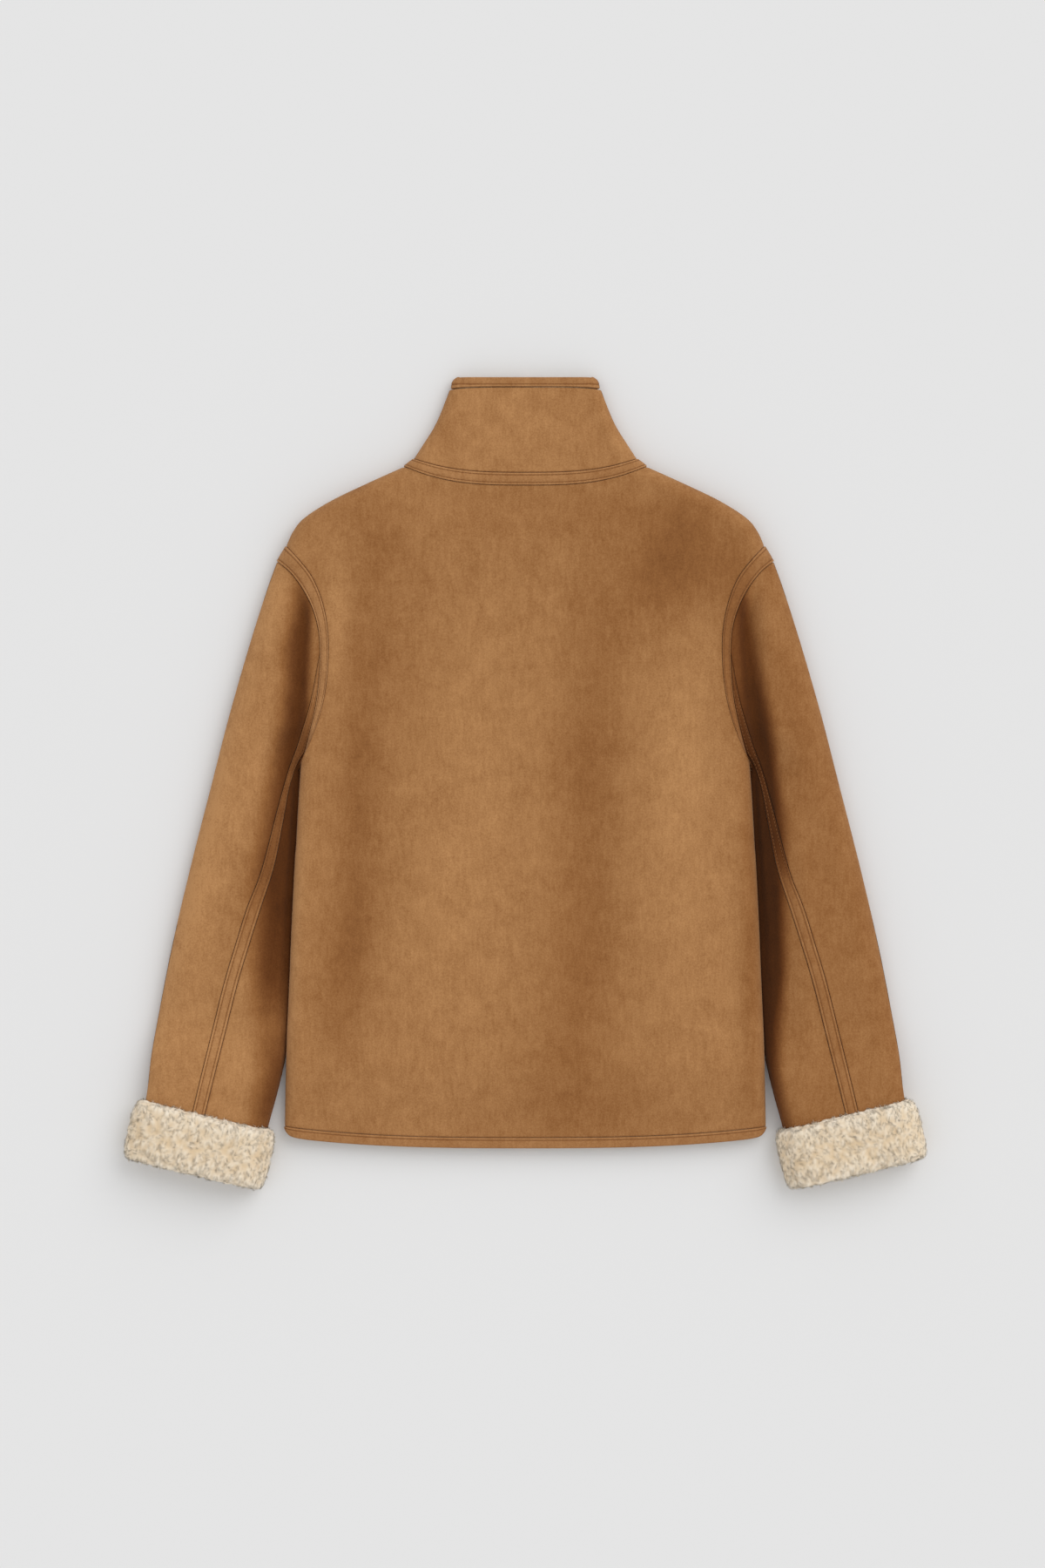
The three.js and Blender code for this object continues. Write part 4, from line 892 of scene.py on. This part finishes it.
# The sleeve's seam tape: a strip over the seam behind each sleeve, stitched down along both edges. It
# leaves the armhole's tape at a sharp tip, follows it down, and runs on to the cuff.
TIP_SHARE = 0.2
SEAM_TAPE_LENGTH, SEAM_TAPE_SPACING = 445, 3.2
TIP_REACH = 2
below_armhole = mix(TIP_SHARE, 1, lines_over(SEAM_TAPE_LENGTH, [0], [0, 2], SEAM_TAPE_SPACING))
ladder = np.concatenate([np.linspace(0, TIP_SHARE, 40)[:-1], below_armhole])
on_armhole = ladder < TIP_SHARE
inner_edge = np.where(
    on_armhole[:, None],
    curve(ARMHOLE_SLEEVE, mix(BAND_TO, BAND_FROM, np.minimum(ladder / TIP_SHARE, 1))),
    even_curve(SEAM_BAND_INNER, np.clip((ladder - TIP_SHARE) / (1 - TIP_SHARE), 0, 1)),
)
slant = SEAM_BAND_OUTER[-1][1] - SEAM_BAND_INNER[-1][1]
outer_edge = at_height(band_outer_line, np.clip(
    inner_edge[:, 1] + slant * ladder, SEAM_BAND_OUTER[-1][1], SEAM_BAND_OUTER[0][1]))
tip_way = outer_edge[1] - outer_edge[0]
outer_edge[0] += TIP_REACH * unit(tip_way)
BAND_WIDTH = 11.3
TIP_ROWS = 14
band_lines = tape_lines(BAND_WIDTH)
TAPE_LIT = {"right": 0.10, "left": 0.32}
for side, sign in SIDES:
    band = between(sleeve_cells(outer_edge, 1), sleeve_cells(inner_edge, 1), band_lines)
    band = seamed(band, ["first_row", "first_column", "last_column"], 0.6)
    band = mirrored(raise_tape(band, band_lines, BAND_WIDTH), sign < 0)
    # The tape takes the painted light and shade of the sleeve under its middle, lifted by TAPE_LIT towards
    # the side's painted light.
    middle_painted_light_and_shade = sleeve_painted_light_and_shade(mix(outer_edge, inner_edge, 0.5), side)
    tone = mix(middle_painted_light_and_shade, SLEEVE_SIDE_PAINTED_LIGHT[side], TAPE_LIT[side])[:, None] * tape_painted_light_and_shade(band_lines, BAND_WIDTH)
    tape = tape_object(f"sleeve_seam_tape_{side}", band, f"sleeve_band_{side}", tone)
    below_tip = tuple(grid[TIP_ROWS:] for grid in band)
    sewn = stitches(f"sleeve_seam_stitches_{side}", below_tip, groove_columns(band_lines, BAND_WIDTH))
    cloth = [f"top_sleeve_{side}", f"under_sleeve_{side}"]

# The armhole tapes: a strip over each armhole's seam, stitched down along both edges, all the way
# round between the body and the sleeve.
ARMHOLE_TAPE_WIDTH = 14.0
over_shares = np.linspace(0, 1, 92)
under_shares = np.linspace(1, 0, 60)[1:-1]
body_places, sleeve_places = (
    [curve(line, shares) for shares in (over_shares, under_shares)]
    for line in (ARMHOLE_BODY, ARMHOLE_SLEEVE)
)
armhole_lines = tape_lines(ARMHOLE_TAPE_WIDTH)
# Painted light round the left armhole tape and painted shade round the right one, at shares of the way over
# the top.
armhole_painted_light_and_shade = {
    "right": [(0, 0.86), (0.15, 0.78), (0.45, 0.70), (0.75, 0.66), (0.92, 0.86), (1, 0.92)],
    "left": [(0, 1.12), (0.5, 1.12), (0.8, 1.02), (1, 1.0)],
}
for side, sign in SIDES:
    body_sides = back_cells(body_places[0]), front_cells(body_places[1], False)
    sleeve_sides = sleeve_cells(sleeve_places[0], 1), sleeve_cells(sleeve_places[1], -1)
    first, second = ([np.concatenate(pair) for pair in zip(*both)] for both in (body_sides, sleeve_sides))
    tape = between(first, second, armhole_lines)
    tape = seamed(tape, ["first_column", "last_column"], 0.6)
    tape = mirrored(raise_tape(tape, armhole_lines, ARMHOLE_TAPE_WIDTH), sign < 0)
    places, tones = np.array(armhole_painted_light_and_shade[side]).T
    tone = np.concatenate([np.interp(over_shares, places, tones), np.ones(len(under_shares))])[:, None]
    tone = tone * tape_painted_light_and_shade(armhole_lines, ARMHOLE_TAPE_WIDTH)
    made = tape_object(f"armhole_tape_{side}", turned(tape), f"armhole_band_{side}", tone.T, ring=True)
    sewn = stitches(f"armhole_stitches_{side}", tape, groove_columns(armhole_lines, ARMHOLE_TAPE_WIDTH))
    cloth = ["back", f"top_sleeve_{side}"]

# The collar: a funnel of the same suede that stands on the neck's seam, here pressed flat. A tape
# covers its lower seam, and a narrow strip is folded over its top edge.
COLLAR = {"half": 107.5, "corner": 312.0, "back": 298.3, "drop": 72.0}
COLLAR_TOP = {"corner": 378.5, "middle": 381.0}
TOP_STRIP = {"corner": 379.5, "middle": 381.3, "top": 390.8}
COLLAR_SIDE = [(107.5, 312), (98.3, 326.3), (87.8, 343.1), (80.2, 359.9), (73.2, 378.5)]
TOP_STRIP_SIDE = [(70.8, 379.5), (70.3, 385), (67.8, 388.8), (64, 390.8)]
COLLAR_TOP_HEIGHT, COLLAR_TOP_EDGE_HEIGHT, COLLAR_EDGE_ROUND = 14.5, 7.0, 12.0
COLLAR_TONE = 1.04
COLLAR_FOLDS = [(-60, 340, 0.3, 40, 12, -0.5), (30, 345, -0.2, 50, 18, 0.6), (70, 335, -0.5, 40, 10, -0.5)]
# Painted shade over the troughs of the collar's folds and painted light beside them, in the same numbers as a
# fold.
COLLAR_PAINTED_BANDS = [(-20, 345, 0.1, 60, 40, 0.05), (-70, 340, 0.4, 40, 14, -0.04), (60, 350, -0.3, 50, 20, -0.04)]

around_angles = np.radians(np.linspace(FRONT_LAP_ANGLE, 90, 26))[:-1]
back_angles = np.radians(np.linspace(90, -90, 78))
ones_around, ones_back = np.ones(len(around_angles)), np.ones(len(back_angles))
place_share = np.concatenate([np.sin(around_angles), np.sin(back_angles), np.sin(around_angles[::-1])])
place_sign = np.concatenate([ones_around, ones_back, -ones_around])
place_drop = np.concatenate([np.cos(around_angles), 0 * ones_back, np.cos(around_angles[::-1])])
on_back = np.concatenate([0 * ones_around, ones_back, 0 * ones_around]) > 0
on_left_front = (place_sign < 0) & ~on_back
collar_line = along_line(COLLAR_SIDE)[::-1]
top_strip_line = along_line(TOP_STRIP_SIDE)[::-1]


def neck_places(line):
    """The places round one of the neck's two seams, from the right lap over the back to the left lap."""
    y = np.where(on_back, curve_up(line, place_share), line["corner"] - line["drop"] * place_drop)
    return np.stack([place_sign * line["half"] * place_share, y], axis=-1)


def collar_cells(p, line):
    """The collar's cloth: lower and flatter towards its top, and rounded over at its sides."""
    right = right_half(p)
    distance, way = nearest(line, right)
    share = np.clip((p[..., 1] - COLLAR["back"]) / (TOP_STRIP["top"] - COLLAR["back"]), 0, 1)
    edge = mix(EDGE_HEIGHT, COLLAR_TOP_EDGE_HEIGHT, share)
    level = rounded(distance, COLLAR_EDGE_ROUND)
    top = mix(edge, mix(NECK_HEIGHT, COLLAR_TOP_HEIGHT, share), level) + soft_bands(p, COLLAR_FOLDS) * level
    bottom = edge * (1 - level) + on_left_front * lap_rise(p)
    fold = (distance, way, COLLAR_EDGE_ROUND)
    sides = [wall(right, z, up, [fold]) for z, up in ((top, 1), (bottom, -1))]
    chosen = tuple(np.where(on_back[..., None], a, b) for a, b in zip(*sides))
    return mirrored(chosen, p[..., 0] < 0)


def neck_cells():
    """The cloth at the neck's seam: the back's there, and the fronts' on each side of the lap."""
    p = neck_places(NECK)
    sides = back_cells(p), front_cells(p, False), front_cells(p, True)
    picked = [np.where(on_left_front[:, None], left, right) for right, left in zip(sides[1], sides[2])]
    return [np.where(on_back[:, None], back, front) for back, front in zip(sides[0], picked)]


def collar_plan(shares, side_places, low, high):
    """The collar's rows, which bend down at its sides as the fourth power of the distance out."""
    edge = curve(side_places, shares)
    straight = mix(side_places[0][1], side_places[-1][1], shares)
    bend = (edge[:, 1] - straight)[:, None] * np.abs(place_share) ** 4
    y = mix(low[None], high[None], shares[:, None]) + bend
    x = edge[:, :1] * (place_sign * place_share)[None]
    return np.stack([x, y], axis=-1)


def seam_height(line):
    """The height of the collar's upper seam at each place."""
    return mix(line["middle"], line["corner"], place_share**4)


BASE_WIDTH = 12.3
base_lines = tape_lines(BASE_WIDTH)
base = between(neck_cells(), collar_cells(neck_places(COLLAR), collar_line), base_lines)
base = seamed(base, ["first_column", "last_column"], 0.6)
base = raise_tape(base, base_lines, BASE_WIDTH)
tone = tape_painted_light_and_shade(base_lines, BASE_WIDTH).T
base_tape = tape_object("collar_base_tape", turned(base), "collar_base_band", tone)
sewn = stitches("collar_base_stitches", base, groove_columns(base_lines, BASE_WIDTH))

collar_rows = lines_over(80, SEAM_LINES, SEAM_LINES, 4)
collar_places = collar_plan(collar_rows, COLLAR_SIDE, neck_places(COLLAR)[:, 1], seam_height(COLLAR_TOP))
cells = seamed(collar_cells(collar_places, collar_line), ["first_row", "last_row"])
collar_tone = COLLAR_TONE + soft_bands(collar_places, COLLAR_PAINTED_BANDS)
collar = wall_object("collar_suede", cells, [suede_nap, inside_pile], tone=collar_tone)
stand_for(collar, "collar")

STRIP_WIDTH = 9.5
strip_rows = lines_over(STRIP_WIDTH, TAPE_EDGE_LINES, [0, 0.4, 1, 2], 2)
strip_high = np.full(len(place_share), TOP_STRIP["top"])
strip_places = collar_plan(strip_rows, TOP_STRIP_SIDE, seam_height(TOP_STRIP), strip_high)
strip = seamed(collar_cells(strip_places, top_strip_line), ["first_row", "last_row"], 0.8)
strip = raise_tape(turned(strip), strip_rows, STRIP_WIDTH, grooves=(0,), pucker=0.06)
tone = tape_painted_light_and_shade(strip_rows, STRIP_WIDTH, (0,)).T
strip_tape = tape_object("collar_edge_tape", turned(strip), "collar_top_band", tone)
sewn = stitches("collar_edge_stitches", strip, groove_columns(strip_rows, STRIP_WIDTH, 1))

# The cuffs: the sleeve's end turned back, so that its curly cream pile shows all round. Under the fine
# strands is a soft roll of the pile's body. The pile stands in small locks that lean this way and that.
PILE_DEPTH, PILE_DEPTH_UNDER = 11.0, 9.0
CUFF_SECTION = [
    (-28, 0.08), (-31, 0.45), (-27, 0.85), (-14, 1), (12, 1), (24, 0.84),
    (28.3, 0.45), (27.8, -0.1), (25.5, -0.42), (19.1, -0.42), (19.1, 0.05),
]
ROLL_DEPTH, ROLL_DEPTH_INSIDE, ROLL_REACH = 0.82, 0.7, 0.93
INSIDE_DEPTH, INSIDE_TO = 0.12, 18.0
DOWNWARD_SHARE = 0.45
LEAN_SPREAD, LEAN_REACH = 0.55, 12.0
LOCK_FORWARD, LOCK_STRETCH = 1.5, 0.72
# Painted light towards the cuff's two ends: how much at the distance RIM_AT out along the sleeve, growing as
# its square.
RIM_LIGHT, RIM_AT = 0.30, 26.0
OWN_LIGHT = 0.25
ROLL_POINTS_ROUND, ROLL_POINTS_ALONG = 260, 88
LUMP_HEIGHT, LUMP_WIDTH = 1.7, 2.5
LOCKS = 900
STRANDS = 8000
STRAND_LENGTH = 5.0
STRAND_RADIUS = 0.27
STRAND_FACES = np.array([
    (0, 2, 1), (0, 1, 4), (0, 4, 3), (1, 2, 5), (1, 5, 4),
    (2, 0, 3), (2, 3, 5), (3, 4, 6), (4, 5, 6), (5, 3, 6),
])
# Painted shade at each strand's root and painted light at its tip, added to its tone.
STRAND_PAINTED_SHADE_AND_TIP_LIGHT = np.array([-0.15, -0.15, -0.15, 0, 0, 0, 0.06])
ROOT_SUNK = 0.9
MIDDLE_RISE, MIDDLE_BEND = 0.20, 0.28
LOCK_TIP_FORWARD, LOCK_TIP_RISE = 3.0, 3.4
TIP_BEND, TIP_SINK, TIP_GATHER = 0.46, 0.06, 0.30
pile_cream = pile("pile_cream", np.array([0.88, 0.78, 0.635]))
pile_strands = pile("pile_strands", np.array([0.89, 0.79, 0.645]), "lie")
sleeve_across = np.array([np.cos(SLEEVE_TILT), np.sin(SLEEVE_TILT)])
sleeve_down = np.array([np.sin(SLEEVE_TILT), -np.cos(SLEEVE_TILT)])


def closed_curve(points, count):
    """Even points on a smooth closed line through the given ones."""
    p = np.asarray(points, float)
    looped = np.concatenate([p[-2:], p, p[:3]])
    shares = np.linspace(2, len(p) + 2, 1200) / (len(looped) - 1)
    dense = curve(looped, shares)
    gone = length_gone(dense)
    return at_distances(dense, gone, np.linspace(0, gone[-1], count + 1)[:-1])


def wrist_section():
    """The sleeve's own outline where the cuff's middle is: how far across, and how high."""
    far, near = ((np.array(line[-1]) - CUFF_MIDDLE) @ sleeve_across for line in (SLEEVE_OUTER, SLEEVE_INNER))
    across_top = mix((far + near) / 2, far, np.cos(np.linspace(0, np.pi, 90)))
    top = sleeve_cells(CUFF_MIDDLE + across_top[:, None] * sleeve_across, 1)[0][:, 2]
    across_low = across_top[::-1][1:-1]
    low = sleeve_cells(CUFF_MIDDLE + across_low[:, None] * sleeve_across, -1)[0][:, 2]
    return np.concatenate([np.stack([across_top, top], -1), np.stack([across_low, low], -1)])


section = closed_curve(wrist_section(), ROLL_POINTS_ROUND)
step = np.roll(section, -1, axis=0) - np.roll(section, 1, axis=0)
outward = np.stack([step[:, 1], -step[:, 0]], -1)
outward = unit(outward)
if (outward * (section - section.mean(0))).sum() < 0:
    outward *= -1
full_depth = np.where(outward[:, 1] < 0, mix(PILE_DEPTH, PILE_DEPTH_UNDER, -outward[:, 1]), PILE_DEPTH)
roll = closed_curve([(along, depth * PILE_DEPTH) for along, depth in CUFF_SECTION], ROLL_POINTS_ALONG)


def cuff_points(depths, alongs):
    """Points of the cuff at a depth over the sleeve's own outline and a distance along the sleeve."""
    scaled = depths[..., None] * (full_depth / PILE_DEPTH)[None, :, None]
    raised = section[None] + scaled * outward[None]
    plan = CUFF_MIDDLE + raised[..., :1] * sleeve_across + alongs[..., None] * sleeve_down
    return np.concatenate([plan, np.maximum(0.3, raised[..., 1:])], axis=-1)


def grid_normals(points):
    """The outward directions of a closed grid, square to its rows and columns."""
    down = np.roll(points, -1, axis=0) - np.roll(points, 1, axis=0)
    round_way = np.roll(points, -1, axis=1) - np.roll(points, 1, axis=1)
    normal = unit(np.cross(down, round_way))
    facing = ((points - points.mean(axis=0, keepdims=True)) * normal).sum()
    return normal if facing > 0 else -normal


def make_cuff(side, sign, seed):
    """A cuff: its soft roll with a lump for each lock, and the pile as pointed strands. A strand rises
    from the roll and bends over its lock's own way, so that the tips of a lock lie close together."""
    chance = np.random.default_rng(seed)
    depths = np.where(roll[:, 1] > 0, roll[:, 1] * ROLL_DEPTH, roll[:, 1] * ROLL_DEPTH_INSIDE)
    depths = np.repeat(depths[:, None], len(section), 1)
    alongs = np.repeat(roll[:, 0][:, None] * ROLL_REACH, len(section), 1)
    points = cuff_points(depths, alongs)
    normals = grid_normals(points)
    area = np.linalg.norm(np.cross(np.roll(points, -1, 0) - points, np.roll(points, -1, 1) - points), axis=-1)
    inside = (roll[:, 1] < INSIDE_DEPTH * PILE_DEPTH) & (roll[:, 0] < INSIDE_TO)
    shown = np.where(inside, 0.0, np.where(roll[:, 1] < 0, 0.6, 1.0))
    weight = area * shown[:, None] * np.where(normals[..., 2] < -0.3, DOWNWARD_SHARE, 1.0)
    weight = (weight / weight.sum()).ravel()

    lock_at = chance.choice(weight.size, LOCKS, p=weight)
    lock_root = points.reshape(-1, 3)[lock_at]
    lock_normal = normals.reshape(-1, 3)[lock_at]
    outwards = np.clip(alongs.ravel()[lock_at] / LEAN_REACH, -1, 1)[:, None]
    lean = chance.normal(0, LEAN_SPREAD, (LOCKS, 3)) + outwards * np.append(sleeve_down, 0)
    lean = unit(square_part(lean, lock_normal))
    lock_tone = chance.uniform(0.95, 1.0, LOCKS)
    lock_height = chance.uniform(0.5, 1.0, LOCKS)

    lumps = np.zeros(points.shape[:2])
    for root_place, height, way in zip(lock_root, lock_height, lean):
        off = points - root_place - way * LOCK_FORWARD
        along = (off * way).sum(-1)
        near = (off**2).sum(-1) - LOCK_STRETCH * along**2
        lumps = np.maximum(lumps, LUMP_HEIGHT * height * np.exp(-near / LUMP_WIDTH**2))
    # Painted light towards the cuff's two ends.
    rim_light = RIM_LIGHT * (alongs / RIM_AT) ** 2
    shaped = points + normals * (lumps * np.minimum(1, shown * 2)[:, None])[..., None]
    shaped[..., 2] = np.maximum(shaped[..., 2], 0)

    at = chance.choice(weight.size, STRANDS, p=weight)
    root = shaped.reshape(-1, 3)[at]
    normal = normals.reshape(-1, 3)[at]
    spread = chance.normal(0, 0.8, (STRANDS, 3))
    root = root + square_part(spread, normal) - normal * ROOT_SUNK
    lock = np.array([
        np.argmin(((lock_root - r) ** 2).sum(1) + 60 * (1 - lock_normal @ n)) for r, n in zip(root, normal)])
    length = STRAND_LENGTH * chance.uniform(0.75, 1.15, STRANDS)[:, None]
    bend = lean[lock] * chance.uniform(0.7, 1.2, STRANDS)[:, None] + chance.normal(0, 0.26, (STRANDS, 3))
    middle = root + (normal * MIDDLE_RISE + bend * MIDDLE_BEND) * length
    lock_tip = lock_root[lock] + lean[lock] * LOCK_TIP_FORWARD + normal * LOCK_TIP_RISE
    gather = square_part(lock_tip - middle, normal)
    tip = middle + (bend * TIP_BEND - normal * TIP_SINK) * length + gather * TIP_GATHER
    for place in (root, middle, tip):
        place[:, 2] = np.maximum(place[:, 2], 0.25)
    way = unit(tip - root)
    flat = unit(np.cross(way, chance.normal(0, 1, (STRANDS, 3))))
    third = np.cross(way, flat)
    radius = STRAND_RADIUS * chance.uniform(0.7, 1.3, STRANDS)[:, None]
    corners = [flat * np.cos(turn) + third * np.sin(turn) for turn in np.radians([0, 120, 240])]
    strand = [
        place + corner * radius * size
        for place, size in ((root, 1.0), (middle, 0.9)) for corner in corners
    ]
    strand = np.stack(strand + [tip], axis=1)
    strand[..., 2] = np.maximum(strand[..., 2], 0.1)
    faces = (np.arange(STRANDS)[:, None, None] * 7 + STRAND_FACES[None]).reshape(-1, 3)
    strand[..., 0] *= sign
    faces = faces if sign > 0 else faces[:, ::-1]
    pile_object = new_object(f"cuff_pile_{side}", strand.reshape(-1, 3), faces.tolist(), [pile_strands])
    own = np.stack([*corners, *corners, way], axis=1)
    soft = unit(normal[:, None] + OWN_LIGHT * own) * (sign, 1, 1)
    set_values(pile_object, "lie", "FLOAT_VECTOR", "vector", soft)
    # Each strand's tone: random by lock and by strand, with painted shade in the clefts between lumps and
    # painted light towards the cuff's ends.
    raised_share = lumps.ravel()[at] / LUMP_HEIGHT
    own_tone_and_cleft_shade = lock_tone[lock] * mix(0.45, 0.85, raised_share) * chance.uniform(0.94, 1.02, STRANDS)
    tone = (rim_light.ravel()[at] + own_tone_and_cleft_shade)[:, None] + STRAND_PAINTED_SHADE_AND_TIP_LIGHT
    set_values(pile_object, "tone", "FLOAT", "value", np.minimum(1.02, tone))

    grid = np.arange(shaped.shape[0] * shaped.shape[1]).reshape(shaped.shape[:2])
    flat_points = shaped.reshape(-1, 3) * (sign, 1, 1)
    skin = faced_outwards(flat_points, grid_faces(np.pad(grid, ((0, 1), (0, 1)), mode="wrap")))
    # The roll is painted a darker tan in the creases between lumps and lighter towards the cuff's ends.
    roll_painted_light_and_shade = rim_light + mix(0.15, 0.80, lumps / LUMP_HEIGHT)
    roll_object = new_object(f"cuff_roll_{side}", flat_points, skin.tolist(), [pile_cream])
    set_values(roll_object, "tone", "FLOAT", "value", roll_painted_light_and_shade)
    for piece in (roll_object, pile_object):
        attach(piece, "root")
    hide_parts(f"cuff_{side}")


make_cuff("right", 1, 11)
make_cuff("left", -1, 23)
